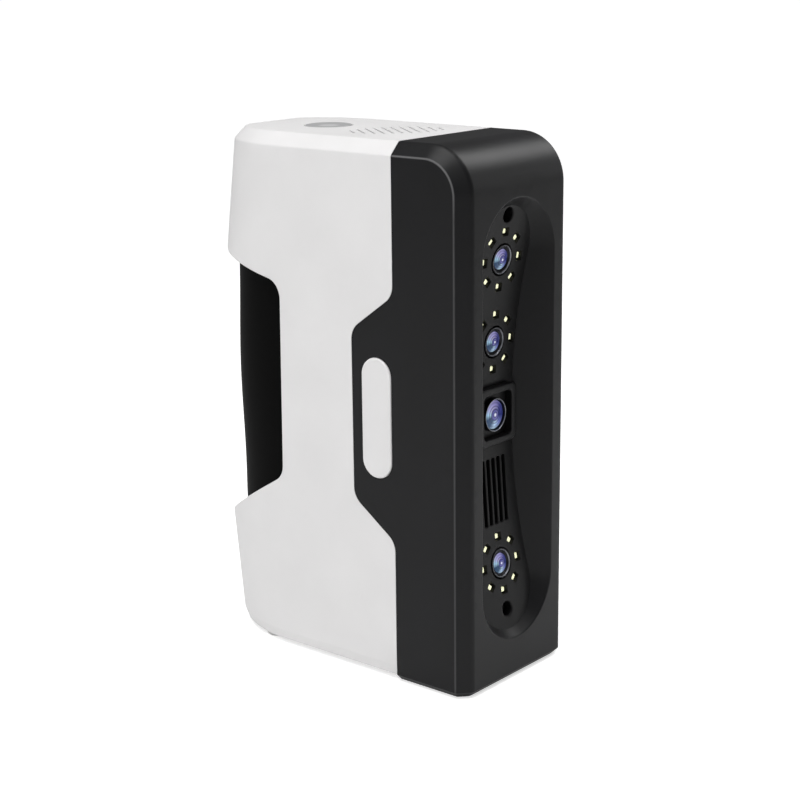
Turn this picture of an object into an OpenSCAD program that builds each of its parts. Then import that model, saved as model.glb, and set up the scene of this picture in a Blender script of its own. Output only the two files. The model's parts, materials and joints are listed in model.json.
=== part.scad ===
// A handheld structured-light scanner that stands on its base, in millimetres.
// The sensor face looks along -Y, Z is up, and the origin lies on the ground under the middle.

/* [Body] */
// Ground to the flat top
height = 240; // [237:0.5:244]
// Across the two flat sides
width = 76; // [75:0.5:79]
// Sensor face to the rear lips
depth = 157; // [155:0.5:162]
// Leg of the flat cut along the long edges
edge_cut = 5.6; // [4.6:0.2:6]
// Thickness of both shells
wall = 2.6; // [2.4:0.1:2.8]
// Round between the sensor face and the top
brow_radius = 21; // [19:0.5:24]
// Sensor face to the seam between the shells
seam = 38.5; // [37.5:0.25:40]
// Open line between the two shells
seam_gap = 0.2; // [0.1:0.05:0.4]
// Ground to the underside of the rear shell
rear_clearance = 2.3; // [1.5:0.1:3]

/* [Side ears] */
// Sensor face to the back of the ear
ear_back = 62; // [60:0.5:64]
// Height of the ear along its straight back
ear_height = 76; // [70:1:80]
// Rise of the slanted edges above and below
ear_slant = 17; // [14:0.5:18]
// Round of the ear's corners
ear_round = 9; // [6:0.5:10]
// Length of the pill badge
badge_length = 54; // [50:1:58]
// Width of the pill badge
badge_width = 16.4; // [14:0.2:17]

/* [Grip window] */
// Rear lips to the front edge of the window
window_reach = 50.5; // [47:0.5:53]
// Height of the window at its front edge
window_height = 90; // [84:1:92]
// Round of the window's inner corners
window_round = 9; // [6:0.5:11]
// Depth of the grip below the outer skin
grip_inset = 6.6; // [6:0.1:7.2]

/* [Sensor recess] */
// Half the width of the recess at its mouth
mouth_half = 25.5; // [24.5:0.25:26.5]
// Height of the recess at its mouth
mouth_height = 197; // [195:0.5:198]
// Sideways step of the recess wall per millimetre of depth
wall_draft = 0.8; // [0.7:0.02:0.84]
// Radius of the hollow panel, which is the working distance
panel_radius = 463; // [440:1:500]
// Depth of the panel in its middle
panel_depth = 14.3; // [13.6:0.1:15]
// Angle of the outer cameras to the level middle line
camera_angle = 8.5; // [8.3:0.05:8.7]
// Angle of the middle camera
middle_angle = 3.95; // [3.85:0.05:4.05]
// Radius of the lamp rings
lamp_ring = 12.3; // [12:0.1:12.6]
// Diameter of a lens head
lens_head = 13.2; // [12.8:0.1:13.6]

/* [Top] */
// Sensor face to the centre of the button
button_place = 107; // [105:0.5:109]
// Diameter of the button
button_width = 21.4; // [20:0.2:22]
// Travel of the button
button_travel = 1; // [0.6:0.1:1.2]
// Sensor face to the centre of the fan
fan_place = 67; // [66:0.5:68]

/* [Base] */
// Sensor face to the tripod thread
tripod_place = 80; // [78:0.5:84]
// Diameter of the tripod thread
tripod_thread = 6.35; // [6:0.05:6.5]
// From the window's lower lip down to the cable socket's axis
socket_drop = 25; // [23:0.5:26]

/* [Hidden] */
$fn = 64;
// Clearances: a snug fit, a screw in its through hole, and the reach of a cut past its piece
loose = 0.05;
free = 0.2;
over = 1;
sliver = 0.02;
// Places that follow from the body
half_w = width / 2;
mid = height / 2;
window_front = depth - window_reach;
// Form of the shells
base_cut = 3;
upper_lip_rise = 64;
lower_lip_drop = 63;
upper_lip = mid + upper_lip_rise;
lower_lip = mid - lower_lip_drop;
socket_height = lower_lip - socket_drop;
upper_lean = 9.1;
lip_lean = 2;
lower_lean = 5.3;
heel_lean = 1.1;
heel = 5;
heel_step = 1.2;
corner_x = 25;
corner_y = 45;
ear_thick = 5;
ear_root = 8;
ear_tail = 12;
window_lift = 8;
window_past = 20;
window_fall = 0.6;
window_climb = 0.2;
block_deep = 11;
block_high = 44;
block_start = 4;
block_length = 32;
block_gap = 1.5;
// Badges and the case screws under them
badge_thick = 1.7;
badge_sunk = 1.1;
badge_step = 0.5;
badge_gap = 0.15;
badge_forward = 2;
badge_place = (seam + ear_back) / 2 - badge_forward;
case_screw_rise = 16;
case_screw_long = 7.4;
// Screws
screw_r = 1.5;
head_r = 2.75;
head_high = 1.9;
head_gap = 0.25;
small_screw_r = 1;
small_head_r = 1.9;
small_head_high = 1.4;
// Grip
grip_thick = 3;
grip_lap = 10;
grip_tuck = 6;
// Recess and panel
mouth_drop = 2.5;
recess_wall = 3;
recess_floor = 1;
panel_thick = 2.5;
panel_half = 22;
panel_rise = 76.5;
upper_screw_angle = 10.95;
lower_screw_angle = -11.1;
panel_post_r = 4.6;
panel_post_end = 7.5;
panel_screw_seat = 5.5;
panel_screw_long = 11.5;
slot_count = 5;
slot_pitch = 3.7;
slot_wide = 2.2;
slot_high = 30;
slot_drop = 35.5;
// Lamps
board_thick = 1.6;
lamp_count = 8;
lamp_wide = 2.4;
lamp_long = 2.9;
lamp_high = 1.6;
lamp_window_wide = 3.5;
lamp_window_long = 4.2;
lamp_board_rim = 3.2;
lamp_board_hole = 0.6;
// Cameras, measured inward from the panel's skin
lens_r = lens_head / 2;
lens_gap = 0.5;
lens_proud = 0.9;
lens_neck = 4.4;
lens_end = 17;
lens_thread = lens_r - 0.7;
lens_bore = 3.2;
glass_rim = 1.6;
glass_gap = 0.1;
glass_seat = 1.2;
glass_apex = 0.5;
glass_dome = 14;
mount_front = 4.6;
mount_wall = 1.6;
mount_foot_w = 20;
mount_foot_h = 18;
mount_foot_thick = 2.5;
camera_board_face = 20;
camera_board_w = 30;
camera_board_h = 28;
camera_hole_x = 12.5;
camera_hole_z = 11.5;
camera_chip = 9;
camera_chip_high = 1.4;
chip_well = 12;
camera_screw_long = 6;
// Projector, measured inward from the panel's skin
projector_angle = -0.08;
bezel_w = 26;
bezel_opening = 20;
bezel_proud = 3.4;
bezel_flange = 3.2;
sleeve_w = 22.4;
engine_face = 6;
engine_back = 50;
engine_w = 30;
engine_h = 32;
engine_flange_w = 42;
engine_flange_thick = 3;
engine_screw_x = 18;
engine_screw_z = 18.2;
engine_screw_long = 6;
barrel_r = 7.6;
barrel_proud = 2.1;
barrel_end = 16;
barrel_seat = 1.6;
barrel_rim = 0.75;
barrel_bore = 4.5;
projector_apex = 1.7;
projector_dome = 26;
sink_w = 32;
sink_h = 36;
sink_plate = 4;
sink_reach = 22;
sink_pitch = 5;
sink_fins = 7;
fin_thick = 1.6;
// Chassis
chassis_near = 24;
chassis_thick = 4;
chassis_half = 22;
chassis_past = 10;
lug_rise = 84;
lug_side = 28;
lug_r = 4;
lug_recess = 0.5;
lug_hole = 12;
lug_wide = 10;
lug_root = 2;
camera_post_r = 2.2;
chassis_screw_long = 14;
// Fan
fan_size = 40;
fan_high = 10;
fan_drop = 3.4;
fan_top = height - wall - fan_drop;
fan_low = fan_top - fan_high;
fan_pitch = 16;
fan_bore = 19;
fan_hub = 9;
fan_shaft = 1.5;
fan_base = 2;
fan_bearing_wall = 1.6;
fan_bearing_high = 6.5;
fan_spoke_wide = 3;
fan_spoke_high = 1.6;
fan_end_gap = 0.6;
fan_cup_wall = 1.4;
fan_screw_bite = 3.5;
blade_count = 7;
blade_chord = 8;
blade_thick = 1.2;
blade_tilt = 38;
blade_root = 0.8;
blade_gap = 0.4;
post_r = 3;
// Top vents: slanted slots that fill an oval over the fan
vent_count = 11;
vent_pitch = 4;
vent_turn = 52;
vent_length = 28;
vent_reach = 22;
vent_wide = 1.0;
// Button and switch
button_r = button_width / 2;
button_gap = 0.4;
button_proud = 0.2;
cap_rim = button_r + 1.9;
rim_under = 2.5;
stem_r = 3;
spring_r = 7.5;
spring_wall = 1.3;
switch_drop = 16;
switch_top = height - switch_drop;
switch_side = 16;
switch_half = 3.1;
switch_high = 3.5;
switch_floor = 1;
switch_margin = 3.5;
switch_board_deep = 18;
switch_screw_bite = 5;
plunger_r = 1.7;
stop_gap = 0.5;
stem_low = switch_top + switch_high + button_travel + stop_gap;
plunger_low = switch_top + switch_floor + button_travel + stop_gap;
// Main board
board_top = 21.6;
board_front = 58;
board_rear_gap = 20;
board_half = 27;
board_margin_x = 4;
board_margin_y = 6;
board_post_r = 3.5;
board_screw_long = 9;
processor = 20;
processor_place = 36;
processor_high = 2.4;
memory_wide = 9;
memory_long = 11;
memory_high = 1.2;
memory_side = 16;
memory_place = 17.5;
connector_wide = 20;
connector_deep = 6;
connector_high = 7;
connector_margin = 2;
// Feet, tripod insert and cable socket
foot_r = 6;
foot_sunk = 1;
foot_side = 28;
foot_from_rear = 37;
foot_place = depth - foot_from_rear;
insert_r = 5;
insert_high = 12;
insert_wall = 3;
thread_end = 2;
socket_inset = 9;
socket_seat = depth - socket_inset;
socket_r = 6;
socket_wall = 1.4;
socket_bore_long = 6;
socket_chamber_wall = 0.9;
socket_flange = 2.5;
socket_flange_thick = 2;
socket_bore_end = socket_seat + socket_flange_thick - socket_bore_long;
socket_long = 11;
socket_end = 2;
socket_well_gap = 0.5;
socket_boss_wall = 5;
socket_boss_front = 4;
pin_count = 5;
pin_circle = 2.6;
pin_r = 0.5;
pin_long = 4.5;
nut_thick = 2.5;
nut_grow = 3;
// Colours
charcoal = [0.13, 0.13, 0.14];
ivory = [0.93, 0.93, 0.92];
steel = [0.62, 0.63, 0.65];
alloy = [0.72, 0.73, 0.75];
board_green = [0.08, 0.25, 0.16];
lens_blue = [0.2, 0.25, 0.5];
brass = [0.78, 0.62, 0.3];

// Points of a round of radius r at corner q, on the way from p to s
function corner(p, q, s, r, steps = 8) =
    r == 0 ? [q] :
    let (
        u = (p - q) / norm(p - q),
        v = (s - q) / norm(s - q),
        half = acos(u * v) / 2,
        centre = q + (u + v) / norm(u + v) * r / sin(half),
        first = q + u * r / tan(half) - centre,
        turn = sign(u[0] * v[1] - u[1] * v[0]) * (half * 2 - 180)
    )
    [for (i = [0 : steps])
        let (a = turn * i / steps)
        centre + [first[0] * cos(a) - first[1] * sin(a), first[0] * sin(a) + first[1] * cos(a)]];

// Outline through the given corners, each with its own round
function rounded(points, radii) =
    let (n = len(points))
    [for (i = [0 : n - 1]) each corner(points[(i + n - 1) % n], points[i], points[(i + 1) % n], radii[i])];

// Place of the edge cut on a skin that lies inset under the outer one
function cut(inset) = edge_cut + inset * (sqrt(2) - 1);

// Plan of the front housing, with its two cut corners
function front_plan(inset, back) =
    let (side = half_w - inset, nose = half_w - cut(inset))
    [[-side, back], [-side, cut(inset)], [-nose, inset], [nose, inset], [side, cut(inset)], [side, back]];

// Side view of the brow, from the top round to the front
function brow(inset, back) =
    let (r = brow_radius - inset, low = height - brow_radius - over)
    concat(
        [[back, low], [back, height - inset]],
        [for (a = [90 : 6 : 180]) [brow_radius + r * cos(a), height - brow_radius + r * sin(a)]],
        [[inset, low]]
    );

// Plan of the rear shell: flat sides that turn through long rounds into the back
function rear_plan(inset, lean, front) =
    let (
        bend = [for (a = [0 : 5 : 90])
            [half_w - corner_x + (corner_x - inset) * cos(a),
             depth - lean - corner_y + (corner_y - inset) * sin(a)]]
    )
    concat(
        [[half_w - inset, front]],
        bend,
        [for (i = [len(bend) - 1 : -1 : 0]) [-bend[i][0], bend[i][1]]],
        [[-(half_w - inset), front]]
    );

// Heights of the rear shell's plans, with what each loses all round and at the back
function rear_steps(inset) = [
    [rear_clearance + inset, inset + heel_step, lower_lean + heel_lean],
    [rear_clearance + inset + heel, inset, lower_lean],
    [lower_lip, inset, 0],
    [upper_lip, inset, lip_lean],
    [height - cut(inset), inset, upper_lean],
    [height - inset, cut(inset), upper_lean]
];

// Side view of the ear, with the strip of side wall that carries it
function ear_outline() =
    let (
        low = mid - ear_height / 2,
        high = mid + ear_height / 2,
        root = seam - ear_root,
        tail = ear_round + ear_tail
    )
    rounded(
        [[root, high + ear_slant + tail], [seam, high + ear_slant + tail], [seam, high + ear_slant],
         [ear_back, high], [ear_back, low], [seam, low - ear_slant],
         [seam, low - ear_slant - tail], [root, low - ear_slant - tail]],
        [0, 0, ear_round, ear_round, ear_round, ear_round, 0, 0]
    );

// Side view of the grip window; grow widens it for the white lip around it
function window_outline(grow) =
    let (
        front = window_front - grow,
        low = mid + window_lift - window_height / 2 - grow,
        high = mid + window_lift + window_height / 2 + grow,
        reach = window_reach + window_past
    )
    rounded(
        [[front, low], [window_front + reach, low - window_fall * reach],
         [window_front + reach, high + window_climb * reach], [front, high]],
        [window_round, 0, 0, window_round]
    );

// Distance from the sensor face to the chassis at a height above the middle
function chassis_face(rise) = panel_depth - panel_radius + sqrt(pow(panel_radius + chassis_near, 2) - rise * rise);

// Moves a piece drawn from the sensor face into the frame of the whole object
module from_front() {
    translate([0, -depth / 2, 0]) children();
}

// Extrudes a side view from one x to another
module along_x(from, to) {
    translate([from, 0, 0]) rotate([90, 0, 90]) linear_extrude(to - from) children();
}

// Rods along the three directions, each from one end to the other
module rod_x(from, to, y, z, r) {
    translate([from, y, z]) rotate([0, 90, 0]) cylinder(h = to - from, r = r);
}
module rod_y(from, to, x, z, r) {
    translate([x, from, z]) rotate([-90, 0, 0]) cylinder(h = to - from, r = r);
}
module rod_z(from, to, x, y, r) {
    translate([x, y, from]) cylinder(h = to - from, r = r);
}

// Box between two y values, centred on x and z
module slab(from, to, w, h) {
    translate([-w / 2, from, -h / 2]) cube([w, to - from, h]);
}

// Sets a piece on the hollow panel: y runs inward from its skin, z runs up along it
module on_panel(angle) {
    translate([0, panel_depth - panel_radius, mid])
        rotate([angle, 0, 0]) translate([0, panel_radius, 0]) children();
}

// Disc whose rim is the hollow panel's skin, moved back by the given depth
module panel_disc(back) {
    translate([-width, panel_depth - panel_radius, mid]) rotate([0, 90, 0])
        cylinder(h = 2 * width, r = panel_radius + back, $fn = 360);
}

// Upright slot form with drafted walls, drawn from one depth to another
module dish(from, to, grow) {
    rise = mouth_height / 2 - mouth_half;
    hull()
        for (end = [-1, 1])
            translate([0, from, mid - mouth_drop + end * rise]) rotate([-90, 0, 0])
                cylinder(h = to - from, r1 = mouth_half + grow - wall_draft * from,
                    r2 = mouth_half + grow - wall_draft * to, $fn = 48);
}

// Pill form along x on the side of the ear
module pill(from, to, shrink) {
    rise = (badge_length - badge_width) / 2;
    hull()
        for (end = [-1, 1])
            rod_x(from, to, badge_place, mid + end * rise, badge_width / 2 - shrink, $fn = 32);
}

// Solid form of the front housing, inset from its skin, closed at the given depth
module front_form(inset, back) {
    hull() {
        for (rise = [0, base_cut])
            translate([0, 0, inset + rise])
                linear_extrude(sliver) polygon(front_plan(inset + base_cut - rise, back));
        along_x(-(half_w - cut(inset)), half_w - cut(inset)) polygon(brow(inset, back));
        along_x(-(half_w - inset), half_w - inset) polygon(brow(cut(inset), back));
    }
}

// Solid form of the rear shell, inset from its skin, starting at the given depth
module rear_form(inset, front) {
    rings = [for (s = rear_steps(inset)) [for (p = rear_plan(s[1], s[2], front)) [p[0], p[1], s[0]]]];
    n = len(rings[0]);
    last = len(rings) - 1;
    polyhedron(
        points = [for (ring = rings) each ring],
        faces = concat(
            [[for (i = [0 : n - 1]) i], [for (i = [n - 1 : -1 : 0]) last * n + i]],
            [for (k = [0 : last - 1], i = [0 : n - 1])
                let (a = k * n + i, b = k * n + (i + 1) % n)
                each [[a, a + n, b + n], [a, b + n, b]]]
        )
    );
}

// Screw with its head's seat at the origin, its head towards +Z and its shank towards -Z
module screw(shank, r = screw_r, rim = head_r, high = head_high) {
    cylinder(h = high, r = rim);
    translate([0, 0, -shank]) cylinder(h = shank, r = r);
}

// The four places where the chassis is screwed to the front housing
module at_lugs() {
    for (side = [-1, 1], end = [-1, 1])
        translate([side * lug_side, 0, mid + end * lug_rise]) children();
}

// The places of the case screws, as an ear and its badge hide them
module at_case_screws() {
    for (side = [-1, 1], end = [-1, 1])
        translate([0, badge_place, mid + end * case_screw_rise]) mirror([side < 0 ? 1 : 0, 0, 0]) children();
}

// The places of the two panel screws, of the three cameras and of one camera board's corner holes
module at_panel_screws() for (angle = [upper_screw_angle, lower_screw_angle]) on_panel(angle) children();
module at_cameras() for (angle = [camera_angle, middle_angle, -camera_angle]) on_panel(angle) children();
module at_board_holes()
    for (x = [-camera_hole_x, camera_hole_x], z = [-camera_hole_z, camera_hole_z]) translate([x, 0, z]) children();

// The lamps' places round one lens
module round_lens()
    for (i = [0 : lamp_count - 1]) rotate([0, i * 360 / lamp_count, 0]) translate([0, 0, lamp_ring]) children();

// The corner screws of the light engine's flange
module at_engine_screws()
    for (x = [-engine_screw_x, engine_screw_x], z = [-engine_screw_z, engine_screw_z])
        translate([x, 0, z]) children();

// The corner screws of the fan, of the switch board and of the main board
module at_fan_screws()
    for (x = [-fan_pitch, fan_pitch], y = [-fan_pitch, fan_pitch]) translate([x, fan_place + y, 0]) children();
module at_switch_screws() for (side = [-1, 1]) translate([side * switch_side, button_place, 0]) children();
module at_main_screws() {
    front = board_front + board_margin_y;
    back = depth - board_rear_gap - board_margin_y;
    for (side = [-1, 1], y = [front, back]) translate([side * (board_half - board_margin_x), y, 0]) children();
}

module front_housing() color(charcoal) from_front() {
    lug_face = chassis_face(lug_rise) + lug_recess;
    difference() {
        union() {
            difference() {
                front_form(0, seam);
                front_form(wall, seam + over);
            }
            intersection() {
                dish(wall / 2, panel_depth + over, recess_wall);
                panel_disc(-loose);
            }
            for (side = [0, 1])
                mirror([side, 0, 0]) along_x(half_w - ear_thick, half_w) polygon(ear_outline());
            at_lugs() rod_y(wall / 2, lug_face, 0, 0, lug_r);
        }
        intersection() {
            dish(-over, panel_depth + 2 * recess_floor, 0);
            panel_disc(recess_floor);
        }
        for (side = [0, 1])
            mirror([side, 0, 0]) pill(half_w - badge_sunk, half_w + over, -badge_gap);
        at_lugs() rod_y(lug_face - lug_hole, lug_face + over, 0, 0, screw_r + loose);
        at_case_screws() {
            rod_x(half_w - ear_thick - over, half_w, 0, 0, screw_r + free);
            rod_x(half_w - badge_sunk - head_high - loose, half_w, 0, 0, head_r + head_gap);
        }
    }
}

module rear_shell() color(ivory) from_front() {
    roof = height - wall / 2;
    floor_level = rear_clearance + wall / 2;
    block = half_w - block_deep;
    tail = ear_back + block_gap;
    difference() {
        union() {
            difference() {
                rear_form(0, seam + seam_gap);
                rear_form(wall, seam - over);
            }
            difference() {
                intersection() {
                    rear_form(wall / 2, seam + seam_gap);
                    along_x(-width, width) polygon(window_outline(wall));
                }
                linear_extrude(height) polygon(rear_plan(grip_inset - loose, 0, seam));
            }
            at_fan_screws() rod_z(fan_top, roof, 0, 0, post_r);
            at_switch_screws() rod_z(switch_top, roof, 0, 0, post_r);
            at_main_screws() rod_z(floor_level, board_top - board_thick, 0, 0, board_post_r);
            rod_z(rear_clearance, rear_clearance + insert_high + over, 0, tripod_place, insert_r + insert_wall);
            rod_y(socket_seat - socket_boss_wall, socket_seat + socket_boss_front, 0, socket_height,
                socket_r + socket_flange + insert_wall);
            for (side = [0, 1])
                mirror([side, 0, 0]) {
                    translate([block, seam + block_start, mid - block_high / 2])
                        cube([block_deep - ear_thick - seam_gap, block_length, block_high]);
                    translate([block, tail, mid - block_high / 2])
                        cube([block_deep - wall / 2, seam + block_start + block_length - tail, block_high]);
                }
        }
        for (side = [0, 1])
            mirror([side, 0, 0]) along_x(half_w - ear_thick, half_w + over)
                translate([seam_gap, 0]) polygon(ear_outline());
        along_x(-width, width) polygon(window_outline(0));
        translate([0, fan_place, roof]) rotate([0, 0, vent_turn])
            for (i = [0 : vent_count - 1]) {
                aside = vent_pitch * (i - (vent_count - 1) / 2);
                long = vent_length * sqrt(1 - pow(aside / vent_reach, 2));
                translate([0, aside, 0]) cube([long, vent_wide, wall + 2 * over], center = true);
            }
        rod_z(height - wall - over, height + over, 0, button_place, button_r + button_gap);
        at_fan_screws() rod_z(fan_top - over, fan_top + fan_screw_bite + free, 0, 0, screw_r + loose);
        at_switch_screws() rod_z(switch_top - over, switch_top + switch_screw_bite + free, 0, 0, screw_r + loose);
        at_main_screws() rod_z(board_top - board_screw_long - free, board_top, 0, 0, screw_r + loose);
        for (side = [-1, 1])
            rod_z(0, rear_clearance + foot_sunk, side * foot_side, foot_place, foot_r + loose);
        rod_z(0, rear_clearance + insert_high, 0, tripod_place, insert_r + loose);
        rod_y(socket_seat, depth + over, 0, socket_height, socket_r + socket_flange + socket_well_gap);
        rod_y(socket_seat - socket_boss_wall - over, socket_seat + over, 0, socket_height, socket_r + loose);
        at_case_screws() rod_x(block, half_w - ear_thick, 0, 0, screw_r + loose);
    }
}

module grip_pad() color(charcoal) from_front() {
    translate([0, 0, lower_lip - grip_tuck])
        linear_extrude(upper_lip - lower_lip + 2 * grip_tuck)
            difference() {
                polygon(rear_plan(grip_inset, 0, window_front - grip_lap));
                polygon(rear_plan(grip_inset + grip_thick, 0, window_front - grip_lap - over));
            }
}

module badge() {
    pill(half_w - badge_sunk, half_w - badge_sunk + badge_thick - badge_step, 0);
    pill(half_w - badge_sunk, half_w - badge_sunk + badge_thick, badge_step);
}

module badge_left() color(ivory) from_front() mirror([1, 0, 0]) badge();
module badge_right() color(ivory) from_front() badge();

module case_screws() color(steel) from_front()
    at_case_screws()
        translate([half_w - badge_sunk - head_high - loose, 0, 0]) rotate([0, 90, 0]) screw(case_screw_long);

module sensor_panel() color(charcoal) from_front() difference() {
    union() {
        intersection() {
            hull()
                for (end = [-1, 1])
                    rod_y(0, panel_depth + 2 * panel_thick, 0, mid + end * panel_rise, panel_half, $fn = 48);
            difference() {
                panel_disc(panel_thick);
                panel_disc(0);
            }
        }
        at_panel_screws() rod_y(panel_thick / 2, panel_post_end, 0, 0, panel_post_r);
    }
    at_panel_screws() {
        rod_y(-over, panel_screw_seat, 0, 0, head_r + 2 * head_gap);
        rod_y(panel_screw_seat - over, panel_post_end + over, 0, 0, screw_r + free);
    }
    at_cameras() {
        rod_y(-over, panel_thick + over, 0, 0, lens_r + lens_gap);
        round_lens() slab(-over, panel_thick + over, lamp_window_wide, lamp_window_long);
    }
    on_panel(projector_angle) slab(-over, panel_thick + over, sleeve_w + 2 * free, sleeve_w + 2 * free);
    for (i = [0 : slot_count - 1])
        translate([slot_pitch * (i - (slot_count - 1) / 2), panel_depth, mid - slot_drop])
            slab(-2 * panel_thick, 2 * panel_thick, slot_wide, slot_high);
}

module panel_screws() color(steel) from_front()
    at_panel_screws() translate([0, panel_screw_seat, 0]) rotate([90, 0, 0]) screw(panel_screw_long);

module lamp_board() difference() {
    rod_y(panel_thick + loose, panel_thick + loose + board_thick, 0, 0, lamp_ring + lamp_board_rim);
    rod_y(panel_thick, panel_thick + 2 * board_thick, 0, 0, lens_r + lamp_board_hole);
}

module lamp_board_upper() color(board_green) from_front() on_panel(camera_angle) lamp_board();
module lamp_board_middle() color(board_green) from_front() on_panel(middle_angle) lamp_board();
module lamp_board_lower() color(board_green) from_front() on_panel(-camera_angle) lamp_board();

module lamps() round_lens() slab(panel_thick + loose - lamp_high, panel_thick + loose, lamp_wide, lamp_long);

module lamps_upper() color(ivory) from_front() on_panel(camera_angle) lamps();
module lamps_middle() color(ivory) from_front() on_panel(middle_angle) lamps();
module lamps_lower() color(ivory) from_front() on_panel(-camera_angle) lamps();

// Threaded lens body with a seat for the front glass
module lens_barrel() difference() {
    union() {
        rod_y(-lens_proud, lens_neck, 0, 0, lens_r);
        rod_y(lens_neck - over, lens_end, 0, 0, lens_thread);
    }
    rod_y(-lens_proud - over, glass_seat, 0, 0, lens_r - glass_rim);
    rod_y(0, lens_end + over, 0, 0, lens_bore);
}

module lens_barrel_upper() color(charcoal) from_front() on_panel(camera_angle) lens_barrel();
module lens_barrel_middle() color(charcoal) from_front() on_panel(middle_angle) lens_barrel();
module lens_barrel_lower() color(charcoal) from_front() on_panel(-camera_angle) lens_barrel();

// Domed front glass that rests on the seat of its barrel
module domed_glass(apex, seat, r, dome) intersection() {
    translate([0, dome - apex, 0]) rotate([-90, 0, 0]) sphere(r = dome, $fn = 128);
    rod_y(-apex - over, seat, 0, 0, r);
}
module camera_glass() domed_glass(glass_apex, glass_seat, lens_r - glass_rim - glass_gap, glass_dome);

module lens_glass_upper() color(lens_blue) from_front() on_panel(camera_angle) camera_glass();
module lens_glass_middle() color(lens_blue) from_front() on_panel(middle_angle) camera_glass();
module lens_glass_lower() color(lens_blue) from_front() on_panel(-camera_angle) camera_glass();

// Tube with a foot that stands on the camera board
module lens_mount() difference() {
    foot = camera_board_face - mount_foot_thick;
    union() {
        rod_y(mount_front, foot + over, 0, 0, lens_r + mount_wall);
        slab(foot, camera_board_face, mount_foot_w, mount_foot_h);
    }
    rod_y(mount_front - over, lens_end + free, 0, 0, lens_thread + loose);
    slab(lens_end, camera_board_face + over, chip_well, chip_well);
}

module lens_mount_upper() color(charcoal) from_front() on_panel(camera_angle) lens_mount();
module lens_mount_middle() color(charcoal) from_front() on_panel(middle_angle) lens_mount();
module lens_mount_lower() color(charcoal) from_front() on_panel(-camera_angle) lens_mount();

// Board with the image sensor under the lens
module camera_board() difference() {
    union() {
        slab(camera_board_face, camera_board_face + board_thick, camera_board_w, camera_board_h);
        slab(camera_board_face - camera_chip_high, camera_board_face + loose, camera_chip, camera_chip);
    }
    at_board_holes()
        rod_y(camera_board_face - over, camera_board_face + board_thick + over, 0, 0, small_screw_r + free);
}

module camera_board_upper() color(board_green) from_front() on_panel(camera_angle) camera_board();
module camera_board_middle() color(board_green) from_front() on_panel(middle_angle) camera_board();
module camera_board_lower() color(board_green) from_front() on_panel(-camera_angle) camera_board();

module camera_screws() color(steel) from_front()
    at_cameras() at_board_holes()
        translate([0, camera_board_face, 0]) rotate([90, 0, 0])
            screw(camera_screw_long, small_screw_r, small_head_r, small_head_high);

module projector_bezel() color(charcoal) from_front() on_panel(projector_angle) difference() {
    flange = bezel_flange - bezel_proud;
    union() {
        slab(-bezel_proud, flange, bezel_w, bezel_w);
        slab(flange - loose, engine_face, sleeve_w, sleeve_w);
    }
    slab(-bezel_proud - over, engine_face + over, bezel_opening, bezel_opening);
}

module projector_barrel() color(charcoal) from_front() on_panel(projector_angle) difference() {
    rod_y(-barrel_proud, barrel_end, 0, 0, barrel_r);
    rod_y(-barrel_proud - over, barrel_seat, 0, 0, barrel_r - barrel_rim);
    rod_y(0, barrel_end + over, 0, 0, barrel_bore);
}

module projector_glass() color(lens_blue) from_front() on_panel(projector_angle)
    domed_glass(projector_apex, barrel_seat, barrel_r - barrel_rim - glass_gap, projector_dome);

module light_engine() color(charcoal) from_front() on_panel(projector_angle) difference() {
    flange = chassis_near + chassis_thick + loose;
    union() {
        slab(engine_face, engine_back, engine_w, engine_h);
        slab(flange, flange + engine_flange_thick, engine_flange_w, engine_flange_w);
    }
    rod_y(engine_face - over, barrel_end, 0, 0, barrel_r + loose);
    at_engine_screws() rod_y(flange - over, flange + engine_flange_thick + over, 0, 0, screw_r + free);
}

module engine_screws() color(steel) from_front() on_panel(projector_angle) at_engine_screws()
    translate([0, chassis_near + chassis_thick + loose + engine_flange_thick, 0])
        rotate([-90, 0, 0]) screw(engine_screw_long);

module heat_sink() color(alloy) from_front() on_panel(projector_angle) {
    slab(engine_back, engine_back + sink_plate, sink_w, sink_h);
    for (i = [0 : sink_fins - 1])
        translate([sink_pitch * (i - (sink_fins - 1) / 2), 0, 0])
            slab(engine_back + sink_plate - over, engine_back + sink_reach, fin_thick, sink_h);
}

module optical_chassis() color(alloy) from_front() {
    lug_face = chassis_face(lug_rise) + lug_recess;
    lug_length = lug_side + lug_r + lug_root - chassis_half;
    chassis_high = 2 * (lug_rise + chassis_past);
    difference() {
        union() {
            intersection() {
                difference() {
                    panel_disc(chassis_near + chassis_thick);
                    panel_disc(chassis_near);
                }
                translate([-chassis_half, 0, mid - chassis_high / 2])
                    cube([2 * chassis_half, panel_depth + chassis_near + 2 * chassis_thick, chassis_high]);
            }
            at_panel_screws() rod_y(panel_post_end, chassis_near + over, 0, 0, panel_post_r);
            at_cameras() at_board_holes()
                rod_y(camera_board_face + board_thick, chassis_near + over, 0, 0, camera_post_r);
            for (side = [0, 1], end = [-1, 1])
                mirror([side, 0, 0])
                    translate([chassis_half - lug_root, lug_face, mid + end * lug_rise - lug_wide / 2])
                        cube([lug_length, chassis_thick - lug_recess, lug_wide]);
        }
        at_panel_screws()
            rod_y(panel_post_end - over, panel_screw_seat + panel_screw_long + over, 0, 0, screw_r + loose);
        at_cameras() at_board_holes()
            rod_y(camera_board_face, camera_board_face + camera_screw_long + free, 0, 0, small_screw_r + loose);
        on_panel(projector_angle) {
            slab(chassis_near - over, chassis_near + 2 * chassis_thick, engine_w + over, engine_h + over);
            at_engine_screws() rod_y(chassis_near - over, chassis_near + 2 * chassis_thick, 0, 0, screw_r + loose);
        }
        at_lugs() rod_y(lug_face - over, lug_face + chassis_thick + over, 0, 0, screw_r + free);
    }
}

module chassis_screws() color(steel) from_front() at_lugs()
    translate([0, chassis_face(lug_rise) + chassis_thick, 0]) rotate([-90, 0, 0]) screw(chassis_screw_long);

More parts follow.
